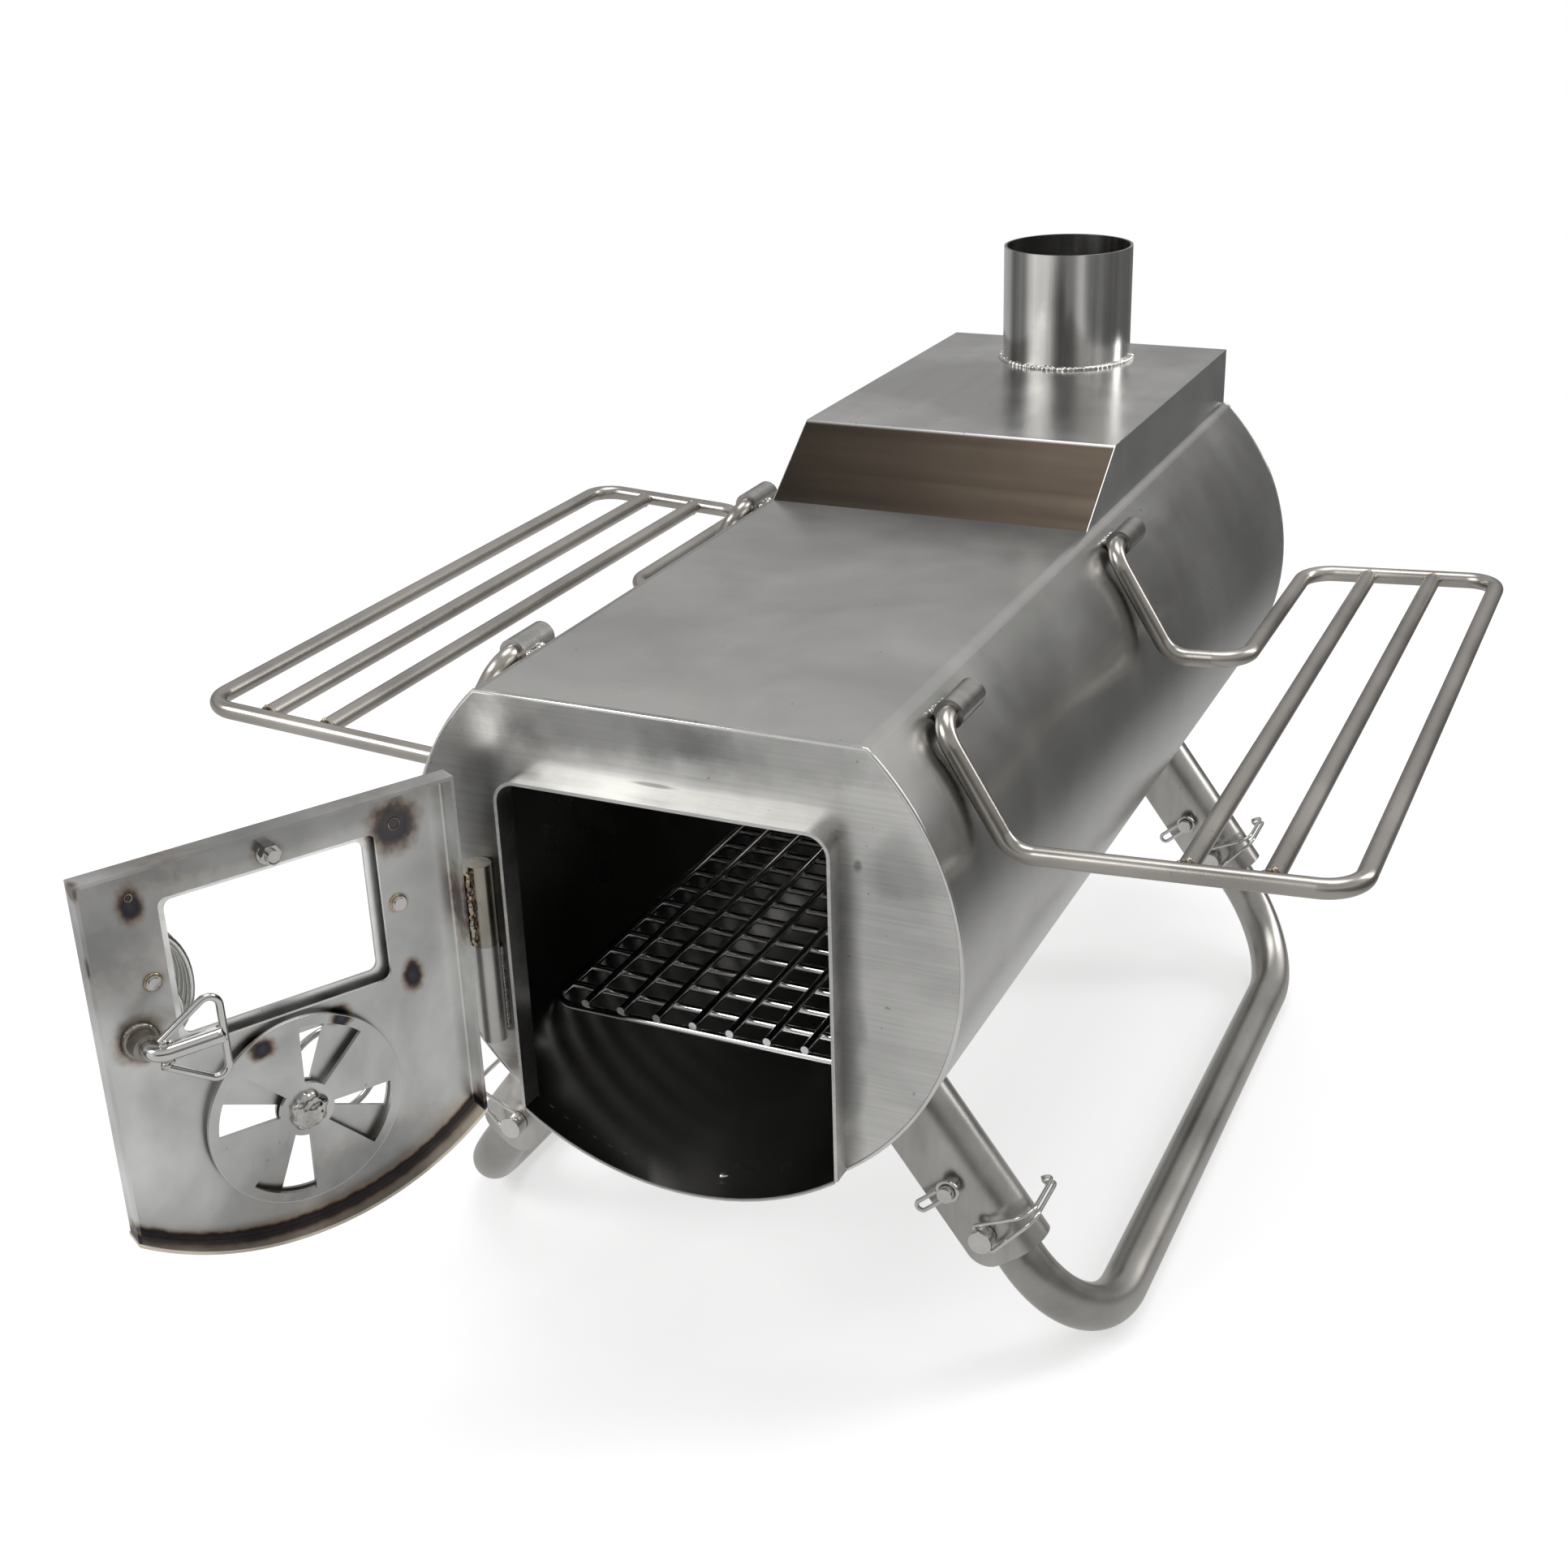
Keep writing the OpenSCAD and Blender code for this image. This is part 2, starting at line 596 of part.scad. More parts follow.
// Solid block of the door's folded tray, inset by a wall on every folded side
module door_tray(inset) {
    bend = door_bend_r - inset;
    half = door_half_w - inset;
    top = door_top_z - inset;
    face = door_out_y + inset;
    depth = rim_y - face + (inset > 0 ? cut : 0);
    intersection() {
        translate([0, 0, -2 * barrel_r]) linear_extrude(2 * barrel_r + top) {
            translate([-half, face + bend]) square([2 * half, depth - bend]);
            translate([-half + bend, face]) square([2 * (half - bend), depth]);
            for (s = [-1, 1]) translate([s * (half - bend), face + bend]) circle(bend);
        }
        translate([-2 * half, 0, 0]) rotate([90, 0, 90]) linear_extrude(4 * half) {
            translate([face, -2 * barrel_r]) square([depth, 2 * barrel_r + top - bend]);
            translate([face + bend, -2 * barrel_r]) square([depth - bend, 2 * barrel_r + top]);
            translate([face + bend, top - bend]) circle(bend);
        }
    }
}

// Air slots round the damper's centre, turned by an angle
module air_slots(y0, y1, turn) {
    translate([0, 0, -damper_drop]) rotate([0, -turn, 0]) for (k = [0 : 3]) rotate([0, 90 * k, 0])
        intersection() {
            difference() {
                rod_y(slot_out_r, y0, y1);
                rod_y(slot_in_r, y0 - cut, y1 + cut);
            }
            plate_y(y0 - cut, y1 + cut) polygon([
                [0, 0], [2 * slot_out_r, -2 * slot_out_r * tan(slot_span / 2)],
                [2 * slot_out_r, 2 * slot_out_r * tan(slot_span / 2)]
            ]);
        }
}

// Places of the three window bolts
bolt_places = [
    [0, window_z + window_h / 2 + glass_lap + bolt_r + rest_gap],
    [window_w / 2 + glass_lap + bolt_r + rest_gap, window_z],
    [-window_w / 2 - glass_lap - bolt_r - rest_gap, window_z]
];

// Door panel: folded plate with its rim, the window and the air slots
module door_panel() color("silver") on_door() difference() {
    intersection() {
        door_tray(0);
        rod_y(barrel_r + strip_gap, 2 * door_out_y, lip_out, $fn = 180);
    }
    door_tray(sheet);
    translate([0, 0, window_z]) plate_y(door_out_y - cut, door_in_y + cut)
        round_rect(window_w, window_h, window_corner_r);
    air_slots(door_out_y - cut, door_in_y + cut, 0);
    translate([0, 0, -damper_drop]) rod_y(hub_r + run_gap, door_out_y - cut, door_in_y + cut);
    translate([latch_x, 0, -latch_drop]) rod_y(latch_r + run_gap, door_out_y - cut, door_in_y + cut);
    for (p = bolt_places) translate([p.x, 0, p.y]) rod_y(bolt_r + seat_gap, door_out_y - cut, door_in_y + cut);
}

// Curved strip welded along the door's bottom edge
module door_bottom_strip() color("dimgray") on_door() plate_y(door_out_y, rim_y) intersection() {
    difference() {
        circle(barrel_r + strip_gap + seat_gap + sheet, $fn = 180);
        circle(barrel_r + strip_gap + seat_gap, $fn = 180);
    }
    translate([-door_half_w, -2 * barrel_r]) square([2 * door_half_w, 2 * barrel_r]);
}

// Pane clamped on the door's outer face
module window_glass() color("lightblue", 0.4) on_door()
    translate([0, 0, window_z]) plate_y(door_out_y - seat_gap - glass_t, door_out_y - seat_gap)
        square([window_w + 2 * glass_lap, window_h + 2 * glass_lap], center = true);

// Retainer: shallow pressed frame over the pane
module window_retainer() {
    frame_w = window_w + 2 * glass_lap + 2 * rest_gap;
    frame_h = window_h + 2 * glass_lap + 2 * rest_gap;
    face_y = door_out_y - glass_t - 2 * seat_gap;
    color("gray") on_door() translate([0, 0, window_z]) {
        difference() {
            plate_y(face_y - sheet, door_out_y) round_rect(
                frame_w + 2 * (retainer_border + bolt_r), frame_h + 2 * (retainer_border + bolt_r), window_corner_r);
            plate_y(face_y, door_out_y + cut) square([frame_w, frame_h], center = true);
            plate_y(face_y - sheet - cut, face_y + cut)
                round_rect(window_w - 2 * retainer_lap, window_h - 2 * retainer_lap, window_corner_r);
            for (p = bolt_places) translate([p.x, 0, p.y - window_z])
                rod_y(bolt_r + seat_gap, face_y - sheet - cut, door_out_y + cut);
        }
    }
}

// Window bolts: pan head outside, the top one long with a nut inside
module window_bolts() {
    head_y = door_out_y - glass_t - 3 * seat_gap - sheet;
    color("silver") on_door() for (i = [0 : 2]) translate([bolt_places[i].x, 0, bolt_places[i].y]) {
        tail = i == 0 ? 3 * bolt_r : bolt_r * 0.9;
        nut = i == 0 ? 1.7 * bolt_r : 1.25 * bolt_r;
        rod_y(bolt_r, head_y, door_in_y + tail);
        rod_y(1.8 * bolt_r, head_y - bolt_r, head_y);
        difference() {
            rod_y(nut, door_in_y + seat_gap, door_in_y + seat_gap + 0.7 * tail, $fn = i == 0 ? 6 : 48);
            rod_y(bolt_r, door_in_y - cut, door_in_y + 2 * tail);
        }
    }
}

module latch_boss() color("gray") on_door() translate([latch_x, 0, -latch_drop]) difference() {
    rod_y(boss_r, door_in_y, boss_end_y);
    rod_y(latch_r + run_gap, door_in_y - cut, boss_end_y + cut);
}

// Latch shaft: round rod through the boss, bent over as the catch
module latch_shaft() color("silver") on_door() bent_rod([
    [latch_x, door_out_y - handle_out - 2 * handle_wire_r, -latch_drop],
    [latch_x, catch_y, -latch_drop],
    [latch_x - catch_reach, catch_y, -latch_drop]
], [1.6 * latch_r], latch_r);

// Wire triangle round the catch rod
module latch_catch() {
    foot = latch_r + catch_wire_r + seat_gap;
    base_x = latch_x - catch_reach - catch_wire_r - seat_gap;
    bend = 3 * catch_wire_r;
    color("gainsboro") on_door() bent_rod([
        [latch_x - foot / 2, catch_y, foot - latch_drop],
        [base_x, catch_y, catch_half_h - latch_drop],
        [base_x, catch_y, -catch_half_h - latch_drop],
        [latch_x - foot / 2, catch_y, -foot - latch_drop]
    ], [bend, bend], catch_wire_r, $fn = 32);
}

// Wound wire handle: a run that spirals out from the shaft's end, then close oval turns
handle_steps = 24;
handle_sides = 6;
handle_in_turn = 0.75;
handle_hub_r = latch_r + handle_wire_r + seat_gap;
handle_rings = handle_steps * (handle_turns + handle_in_turn);
function handle_turn(i) = i / handle_steps;
function handle_in(i) = max(0, 1 - handle_turn(i) / handle_in_turn);
function handle_reach(i, r) = r + (handle_hub_r - r) * handle_in(i);
function handle_point(i) = [
    latch_x + handle_off_x * (1 - handle_in(i)) + handle_reach(i, handle_half_w) * cos(360 * handle_turn(i)),
    door_out_y - handle_out - handle_pitch * handle_turn(i),
    handle_off_z * (1 - handle_in(i)) + handle_reach(i, handle_half_h) * sin(360 * handle_turn(i)) - latch_drop
];
handle_pts = [for (i = [0 : handle_rings]) handle_point(i)];
// Least space between two turns, measured on points more than a third of a turn apart
handle_gap = min([for (i = [0 : handle_rings]) for (j = [i + handle_steps / 3 : handle_rings])
    norm(handle_pts[i] - handle_pts[j])]) - 2 * handle_wire_r;
echo(handle_gap = handle_gap);

// Tube swept along points, with triangles for its sides and a fan at each end
module swept_wire(pts, r, sides) {
    last = len(pts) - 1;
    rings = [for (i = [0 : last]) let (
        along = unit(pts[min(i + 1, last)] - pts[max(i - 1, 0)]),
        across = unit(cross([0, 1, 0], along)),
        up = cross(along, across)
    ) for (k = [0 : sides - 1]) pts[i] + r * (across * cos(360 * k / sides) + up * sin(360 * k / sides))];
    walls = [for (i = [0 : last - 1]) for (k = [0 : sides - 1]) let (
        a = i * sides + k, b = i * sides + (k + 1) % sides
    ) each [[a, b, b + sides], [a, b + sides, a + sides]]];
    ends = [for (k = [1 : sides - 2]) each [
        [0, k + 1, k], [last * sides, last * sides + k, last * sides + k + 1]
    ]];
    polyhedron(rings, concat(walls, ends));
}
module latch_handle() color("gainsboro") on_door() swept_wire(handle_pts, handle_wire_r, handle_sides);

// Damper disc with four air slots
module damper_disc() color("lightgray") on_door() difference() {
    translate([0, 0, -damper_drop]) rod_y(damper_r, damper_in_y, damper_in_y + damper_t, $fn = 96);
    translate([0, 0, -damper_drop]) rod_y(hub_r + seat_gap, damper_in_y - cut, damper_in_y + damper_t + cut);
    air_slots(damper_in_y - cut, damper_in_y + damper_t + cut, damper_turn);
}

// Centre pin of the damper: welded head inside, spacing collar, stem to the ring
module damper_hub() color("silver") on_door() translate([0, 0, -damper_drop]) {
    rod_y(hub_r, ring_y + ring_wire_r + seat_gap, damper_in_y + damper_t + seat_gap);
    rod_y(hub_head_r, damper_in_y + damper_t + seat_gap, damper_in_y + damper_t + seat_gap + hub_head_t);
    rod_y(1.6 * hub_r, door_in_y + rest_gap, damper_in_y - seat_gap);
    rod_y(1.6 * hub_r, door_out_y - rest_gap - sheet, door_out_y - rest_gap);
}

module damper_handle() color("gainsboro") on_door() translate([-ring_r, ring_y, -damper_drop])
    rotate([90, 0, 0]) rotate_extrude() translate([ring_r, 0]) circle(ring_wire_r, $fn = 32);

// Rack frame: one rod bent from the front sleeve round the rack to the rear sleeve
module rack_frame() {
    inner_x = rack_outer_x - 3 * rack_pitch - sleeve_x;
    outer_x = rack_outer_x - sleeve_x;
    bend_x = elbow_x - sleeve_x;
    rear_arm_y = rack_y + rack_arm_gap;
    end_y = sleeve_len - rest_gap;
    rack_frame_at() bent_rod([
        [0, sleeve_front_y + end_y, 0],
        [0, rack_y, 0],
        [bend_x, rack_y, -rack_drop],
        [outer_x, rack_y, -rack_drop],
        [outer_x, rack_y + rack_len, -rack_drop],
        [inner_x, rack_y + rack_len, -rack_drop],
        [inner_x, rear_arm_y, -rack_drop],
        [bend_x, rear_arm_y, -rack_drop],
        [0, rear_arm_y, 0],
        [0, sleeve_rear_y + end_y, 0]
    ], [
        sleeve_bend_r, rack_bend_r, rack_bend_r, rack_bend_r, rack_bend_r,
        rack_bend_r, rack_bend_r, sleeve_bend_r
    ], rod_r, $fn = 32);
}
module right_rack_frame() color("silver") right() rack_frame();
module left_rack_frame() color("silver") left() rack_frame();

// Two straight bars butted between the rack's front and rear rods
module rack_bars() rack_frame_at() for (k = [1, 2])
    translate([rack_outer_x - k * rack_pitch - sleeve_x, 0, -rack_drop])
        rod_y(rod_r, rack_y + rod_r + seat_gap, rack_y + rack_len - rod_r - seat_gap, $fn = 32);
module right_rack_bars() color("silver") right() rack_bars();
module left_rack_bars() color("silver") left() rack_bars();

// Leg: one tube bent into a flat U, a pivot hole and an open lock notch in each arm
module leg() {
    top = pivot_along - leg_stub;
    ground = pivot_along + leg_drop;
    reach = leg_r + cut;
    leg_frame() difference() {
        leg_path(top, ground, leg_r);
        leg_path(top - cut, ground, leg_r - leg_wall);
        for (y = [leg_front_y, leg_rear_y]) translate([pivot_along, y, pivot_perp]) {
            rod_y(pivot_r + run_gap, -reach, reach);
            translate([lock_along, 0, 0]) rod_y(lock_r + run_gap, -reach, reach);
            rotate([90, 0, 0]) rotate_extrude(angle = 40) translate([lock_along - lock_r - run_gap, -reach])
                square([2 * (lock_r + run_gap), 2 * reach]);
        }
    }
}
module leg_path(top, ground, r) bent_rod([
    [top, leg_front_y, pivot_perp], [ground, leg_front_y, pivot_perp],
    [ground, leg_rear_y, pivot_perp], [top, leg_rear_y, pivot_perp]
], [leg_bend_r, leg_bend_r], r, $fn = 48);
module right_leg() color("darkgray") right() leg();
module left_leg() color("darkgray") left() leg();

// Lock pin: plain pin with a thick head in front
module lock_pin(y) translate([0, y, 0]) leg_frame() translate([lock_x, 0, pivot_perp]) difference() {
    union() {
        rod_y(lock_r, -bracket_half_w - rest_gap, bracket_half_w + lock_out);
        rod_y(lock_head_r, -bracket_half_w - rest_gap - lock_head_len, -bracket_half_w - rest_gap);
    }
    translate([0, -bracket_half_w - rest_gap - lock_head_len / 2, 0])
        rotate([0, 90, 0]) cylinder(h = 4 * lock_head_r, r = bail_r + seat_gap, center = true, $fn = 24);
}
module right_front_lock_pin() color("silver") right() lock_pin(leg_front_y);
module right_rear_lock_pin() color("silver") right() lock_pin(leg_rear_y);
module left_front_lock_pin() color("silver") left() lock_pin(leg_front_y);
module left_rear_lock_pin() color("silver") left() lock_pin(leg_rear_y);

// Bail: spring wire through the pin's head, its doubled loop round the bracket's back
module bail(y) {
    head_y = -bracket_half_w - rest_gap - lock_head_len / 2;
    rear_y = bracket_half_w + lock_out;
    top_z = bracket_back + bail_gap;
    tail_z = bracket_back + rest_gap + bail_r;
    spread = lock_head_r + 2 * bail_r;
    bend = 4 * bail_r;
    translate([0, y, 0]) leg_frame() translate([lock_x, 0, pivot_perp]) bent_rod([
        [0, head_y, 0],
        [spread, head_y, 0],
        [bail_r * 1.5, head_y, top_z],
        [bail_r * 1.5, rear_y, top_z],
        [bail_r * 1.5, rear_y, tail_z],
        [-bail_r * 1.5, rear_y, tail_z],
        [-bail_r * 1.5, rear_y, top_z],
        [-bail_r * 1.5, head_y, top_z],
        [-spread, head_y, 0],
        [0, head_y, 0]
    ], [
        1.4 * bail_r, 2 * bend, 2 * bend, 1.45 * bail_r,
        1.45 * bail_r, 2 * bend, 2 * bend, 1.4 * bail_r
    ], bail_r, $fn = 24);
}
module right_front_bail() color("gainsboro") right() bail(leg_front_y);
module right_rear_bail() color("gainsboro") right() bail(leg_rear_y);
module left_front_bail() color("gainsboro") left() bail(leg_front_y);
module left_rear_bail() color("gainsboro") left() bail(leg_rear_y);

barrel_shell();
front_plate();
back_plate();
smoke_box();
flue_collar();
right_front_sleeve();
right_rear_sleeve();
left_front_sleeve();
left_rear_sleeve();
right_front_bracket();
right_rear_bracket();
left_front_bracket();
left_rear_bracket();
right_front_pivot_pin();
right_rear_pivot_pin();
left_front_pivot_pin();
left_rear_pivot_pin();
right_front_cotter();
right_rear_cotter();
left_front_cotter();
left_rear_cotter();
hinge_knuckle_lower();
hinge_pin();
grate_border();
grate_long_wires();
grate_cross_wires();
door_panel();
door_bottom_strip();
window_glass();
window_retainer();
window_bolts();
hinge_knuckle_upper();
latch_boss();
latch_shaft();
latch_catch();
latch_handle();
damper_disc();
damper_hub();
damper_handle();
right_rack_frame();
right_rack_bars();
left_rack_frame();
left_rack_bars();
right_leg();
left_leg();
right_front_lock_pin();
right_rear_lock_pin();
left_front_lock_pin();
left_rear_lock_pin();
right_front_bail();
right_rear_bail();
left_front_bail();
left_rear_bail();
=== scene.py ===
import math

import bpy
from mathutils import Matrix, Vector


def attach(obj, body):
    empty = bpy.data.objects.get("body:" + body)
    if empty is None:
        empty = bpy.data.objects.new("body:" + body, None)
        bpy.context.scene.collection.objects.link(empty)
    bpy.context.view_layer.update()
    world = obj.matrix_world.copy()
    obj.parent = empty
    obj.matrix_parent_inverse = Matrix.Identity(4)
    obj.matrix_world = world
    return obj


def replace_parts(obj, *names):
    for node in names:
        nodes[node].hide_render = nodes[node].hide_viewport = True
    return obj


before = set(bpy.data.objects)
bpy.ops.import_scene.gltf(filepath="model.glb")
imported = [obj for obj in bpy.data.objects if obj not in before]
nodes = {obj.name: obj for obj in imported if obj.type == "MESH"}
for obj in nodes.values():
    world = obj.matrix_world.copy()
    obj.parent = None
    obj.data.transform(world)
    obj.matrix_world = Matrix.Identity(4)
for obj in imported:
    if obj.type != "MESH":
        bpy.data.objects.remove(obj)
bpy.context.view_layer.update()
bpy.ops.object.select_all(action="DESELECT")
bpy.context.scene.view_settings.view_transform = "Standard"


# The view. The camera stands to the right of the open door and looks down on
# the stove, through a lens of about 48 mm. Its place was solved from points
# that the photograph and the stove's own measures share.
view = bpy.data.cameras.new("view")
view.lens = 47.9
view.sensor_width = 36
camera = bpy.data.objects.new("camera", view)
bpy.context.scene.collection.objects.link(camera)
bpy.context.scene.camera = camera
turn, tilt, roll = math.radians(25.50), math.radians(24.07), math.radians(1.93)
ahead = Vector((-math.sin(turn) * math.cos(tilt), math.cos(turn) * math.cos(tilt), -math.sin(tilt)))
across = Vector((math.cos(turn), math.sin(turn), 0))
below = ahead.cross(across)
across, below = (math.cos(roll) * across + math.sin(roll) * below,
                 -math.sin(roll) * across + math.cos(roll) * below)
camera.matrix_world = (Matrix.Translation((0.29252, -0.68622, 0.49633))
                       @ Matrix((across, -below, -ahead)).transposed().to_4x4())

# The studio. A white table whose far edge melts into a white wall, with one
# broad soft lamp over the front left and a narrower one behind on the right.
# Bare metal sees the white table, a bright ceiling and a darker room around.
bpy.ops.mesh.primitive_circle_add(vertices=96, radius=4, fill_type="NGON", location=(0, 0, 0))
table = bpy.context.object
table.name = "table"
table_paint = bpy.data.materials.new("table_paint")
table_paint.use_nodes = True
n, link = table_paint.node_tree.nodes, table_paint.node_tree.links
n.clear()
matt = n.new("ShaderNodeBsdfDiffuse")
matt.inputs["Color"].default_value = (0.62, 0.62, 0.62, 1)
lift = n.new("ShaderNodeEmission")
lift.inputs["Strength"].default_value = 0.53
seen = n.new("ShaderNodeAddShader")
white = n.new("ShaderNodeEmission")
spot = n.new("ShaderNodeTexCoord")
far = n.new("ShaderNodeVectorMath")
far.operation = "LENGTH"
edge = n.new("ShaderNodeMapRange")
edge.interpolation_type = "SMOOTHSTEP"
edge.inputs["From Min"].default_value = 0.45
edge.inputs["From Max"].default_value = 1.1
fade = n.new("ShaderNodeMixShader")
rays = n.new("ShaderNodeLightPath")
dim = n.new("ShaderNodeMapRange")
dim.interpolation_type = "SMOOTHSTEP"
dim.inputs["From Min"].default_value = 0.14
dim.inputs["From Max"].default_value = 0.72
dim.inputs["To Min"].default_value = 0.60
dim.inputs["To Max"].default_value = 0.13
mirrored = n.new("ShaderNodeEmission")
off_metal = n.new("ShaderNodeMath")
off_metal.operation = "SUBTRACT"
off_metal.use_clamp = True
behind = n.new("ShaderNodeVectorMath")
behind.operation = "DOT_PRODUCT"
behind.inputs[1].default_value = (0.8, 0.6, 0)
pick = n.new("ShaderNodeMixShader")
out = n.new("ShaderNodeOutputMaterial")
link.new(spot.outputs["Object"], far.inputs[0])
link.new(far.outputs["Value"], edge.inputs["Value"])
link.new(spot.outputs["Object"], behind.inputs[0])
link.new(behind.outputs["Value"], dim.inputs["Value"])
link.new(dim.outputs["Result"], mirrored.inputs["Strength"])
link.new(matt.outputs[0], seen.inputs[0])
link.new(lift.outputs[0], seen.inputs[1])
link.new(edge.outputs["Result"], fade.inputs["Fac"])
link.new(seen.outputs[0], fade.inputs[1])
link.new(white.outputs[0], fade.inputs[2])
link.new(rays.outputs["Is Glossy Ray"], off_metal.inputs[0])
link.new(rays.outputs["Is Transmission Ray"], off_metal.inputs[1])
link.new(off_metal.outputs[0], pick.inputs["Fac"])
link.new(fade.outputs[0], pick.inputs[1])
link.new(mirrored.outputs[0], pick.inputs[2])
link.new(pick.outputs[0], out.inputs["Surface"])
table.data.materials.append(table_paint)

room = bpy.data.worlds.new("room")
bpy.context.scene.world = room
room.use_nodes = True
n, link = room.node_tree.nodes, room.node_tree.links
n.clear()
way = n.new("ShaderNodeTexCoord")
split = n.new("ShaderNodeSeparateXYZ")
sky = n.new("ShaderNodeValToRGB")
sky.color_ramp.elements[0].position = 0.0
sky.color_ramp.elements[0].color = (0.34, 0.33, 0.32, 1)
sky.color_ramp.elements[1].position = 1.0
sky.color_ramp.elements[1].color = (0.50, 0.51, 0.52, 1)
sky.color_ramp.elements.new(0.28).color = (0.62, 0.615, 0.61, 1)
sky.color_ramp.elements.new(0.50).color = (0.84, 0.84, 0.84, 1)
toward = n.new("ShaderNodeVectorMath")
toward.operation = "DOT_PRODUCT"
toward.inputs[1].default_value = (0.298, -0.954, 0)
beside = n.new("ShaderNodeVectorMath")
beside.operation = "DOT_PRODUCT"
beside.inputs[1].default_value = (0.954, 0.298, 0)
round_by = n.new("ShaderNodeMath")
round_by.operation = "ARCTAN2"
share = n.new("ShaderNodeMapRange")
share.inputs["From Min"].default_value = -math.pi
share.inputs["From Max"].default_value = math.pi
walls = n.new("ShaderNodeValToRGB")
walls.color_ramp.elements[0].color = (0.34, 0.34, 0.34, 1)
walls.color_ramp.elements[1].color = (0.34, 0.34, 0.34, 1)
for at, grey in ((0.16, 0.42), (0.30, 0.62), (0.36, 0.98), (0.41, 0.98), (0.46, 0.30), (0.50, 0.08),
                 (0.57, 0.10), (0.66, 0.26), (0.85, 0.11)):
    walls.color_ramp.elements.new(at).color = (grey, grey * 0.99, grey * 0.98, 1)
rise = n.new("ShaderNodeMapRange")
rise.interpolation_type = "SMOOTHSTEP"
rise.inputs["From Min"].default_value = 0.14
rise.inputs["From Max"].default_value = 0.40
around = n.new("ShaderNodeMix")
around.data_type = "RGBA"
glow = n.new("ShaderNodeBackground")
glow.inputs["Strength"].default_value = 0.76
paper = n.new("ShaderNodeBackground")
paper.inputs["Color"].default_value = (1, 1, 1, 1)
rays = n.new("ShaderNodeLightPath")
clear_way = n.new("ShaderNodeMath")
clear_way.operation = "MAXIMUM"
pick = n.new("ShaderNodeMixShader")
out = n.new("ShaderNodeOutputWorld")
link.new(way.outputs["Generated"], split.inputs[0])
link.new(way.outputs["Generated"], toward.inputs[0])
link.new(way.outputs["Generated"], beside.inputs[0])
link.new(beside.outputs["Value"], round_by.inputs[0])
link.new(toward.outputs["Value"], round_by.inputs[1])
link.new(round_by.outputs[0], share.inputs["Value"])
link.new(share.outputs["Result"], walls.inputs["Fac"])
link.new(split.outputs["Z"], sky.inputs["Fac"])
link.new(split.outputs["Z"], rise.inputs["Value"])
link.new(rise.outputs["Result"], around.inputs[0])
link.new(walls.outputs["Color"], around.inputs[6])
link.new(sky.outputs["Color"], around.inputs[7])
link.new(around.outputs[2], glow.inputs["Color"])
link.new(rays.outputs["Is Camera Ray"], clear_way.inputs[0])
link.new(rays.outputs["Is Transmission Ray"], clear_way.inputs[1])
link.new(clear_way.outputs[0], pick.inputs["Fac"])
link.new(glow.outputs[0], pick.inputs[1])
link.new(paper.outputs[0], pick.inputs[2])
link.new(pick.outputs[0], out.inputs["Surface"])

for name, place, size, power in (
    ("lamp_front_left", (-1.3, -1.5, 1.7), (1.3, 0.9), 21),
    ("lamp_back_right", (1.5, 1.2, 1.3), (0.5, 1.4), 12),
    ("lamp_over", (0.1, 0.3, 2.1), (1.4, 1.0), 14),
):
    lamp = bpy.data.lights.new(name, "AREA")
    lamp.shape = "RECTANGLE"
    lamp.size, lamp.size_y = size
    lamp.energy = power
    stand = bpy.data.objects.new(name, lamp)
    stand.location = place
    stand.rotation_euler = (Vector((0, 0, 0.15)) - Vector(place)).to_track_quat("-Z", "Y").to_euler()
    bpy.context.scene.collection.objects.link(stand)


# The firebox shell. A stainless sheet of 1.2 mm is rolled round, flattened on
# top for a pan, and welded along below. It keeps the mill's satin skin, with
# faint cloudy smudges and a few specks. Inside, its colour is darkened as painted shade, as dark as an unlit
# tube.
steel_skin = bpy.data.node_groups.new("steel_skin", "ShaderNodeTree")
for label, kind, value in (("Place", "NodeSocketVector", None), ("Brush", "NodeSocketVector", None),
                           ("Steel", "NodeSocketColor", (0.45, 0.45, 0.44, 1)),
                           ("Smudges", "NodeSocketFloat", 0.3),
                           ("Grain", "NodeSocketFloat", 0.3), ("Gloss", "NodeSocketFloat", 0.3)):
    socket = steel_skin.interface.new_socket(label, in_out="INPUT", socket_type=kind)
    if value is not None:
        socket.default_value = value
for label, kind in (("Color", "NodeSocketColor"), ("Roughness", "NodeSocketFloat"),
                    ("Height", "NodeSocketFloat")):
    steel_skin.interface.new_socket(label, in_out="OUTPUT", socket_type=kind)
n, link = steel_skin.nodes, steel_skin.links
given = n.new("NodeGroupInput")
given_back = n.new("NodeGroupOutput")
clouds = n.new("ShaderNodeTexNoise")
clouds.inputs["Scale"].default_value = 16
clouds.inputs["Detail"].default_value = 4
clouds.inputs["Distortion"].default_value = 0.25
cloud_ramp = n.new("ShaderNodeMapRange")
cloud_ramp.inputs["From Min"].default_value = 0.38
cloud_ramp.inputs["From Max"].default_value = 0.66
cloud_ramp.inputs["To Min"].default_value = -0.5
cloud_ramp.inputs["To Max"].default_value = 0.5
lines = n.new("ShaderNodeTexNoise")
lines.inputs["Scale"].default_value = 1
lines.inputs["Detail"].default_value = 3
lines.inputs["Roughness"].default_value = 0.65
line_ramp = n.new("ShaderNodeMapRange")
line_ramp.inputs["From Min"].default_value = 0.3
line_ramp.inputs["From Max"].default_value = 0.7
line_ramp.inputs["To Min"].default_value = -0.5
line_ramp.inputs["To Max"].default_value = 0.5
specks = n.new("ShaderNodeTexNoise")
specks.inputs["Scale"].default_value = 460
specks.inputs["Detail"].default_value = 0
speck_ramp = n.new("ShaderNodeMapRange")
speck_ramp.inputs["From Min"].default_value = 0.86
speck_ramp.inputs["From Max"].default_value = 0.90
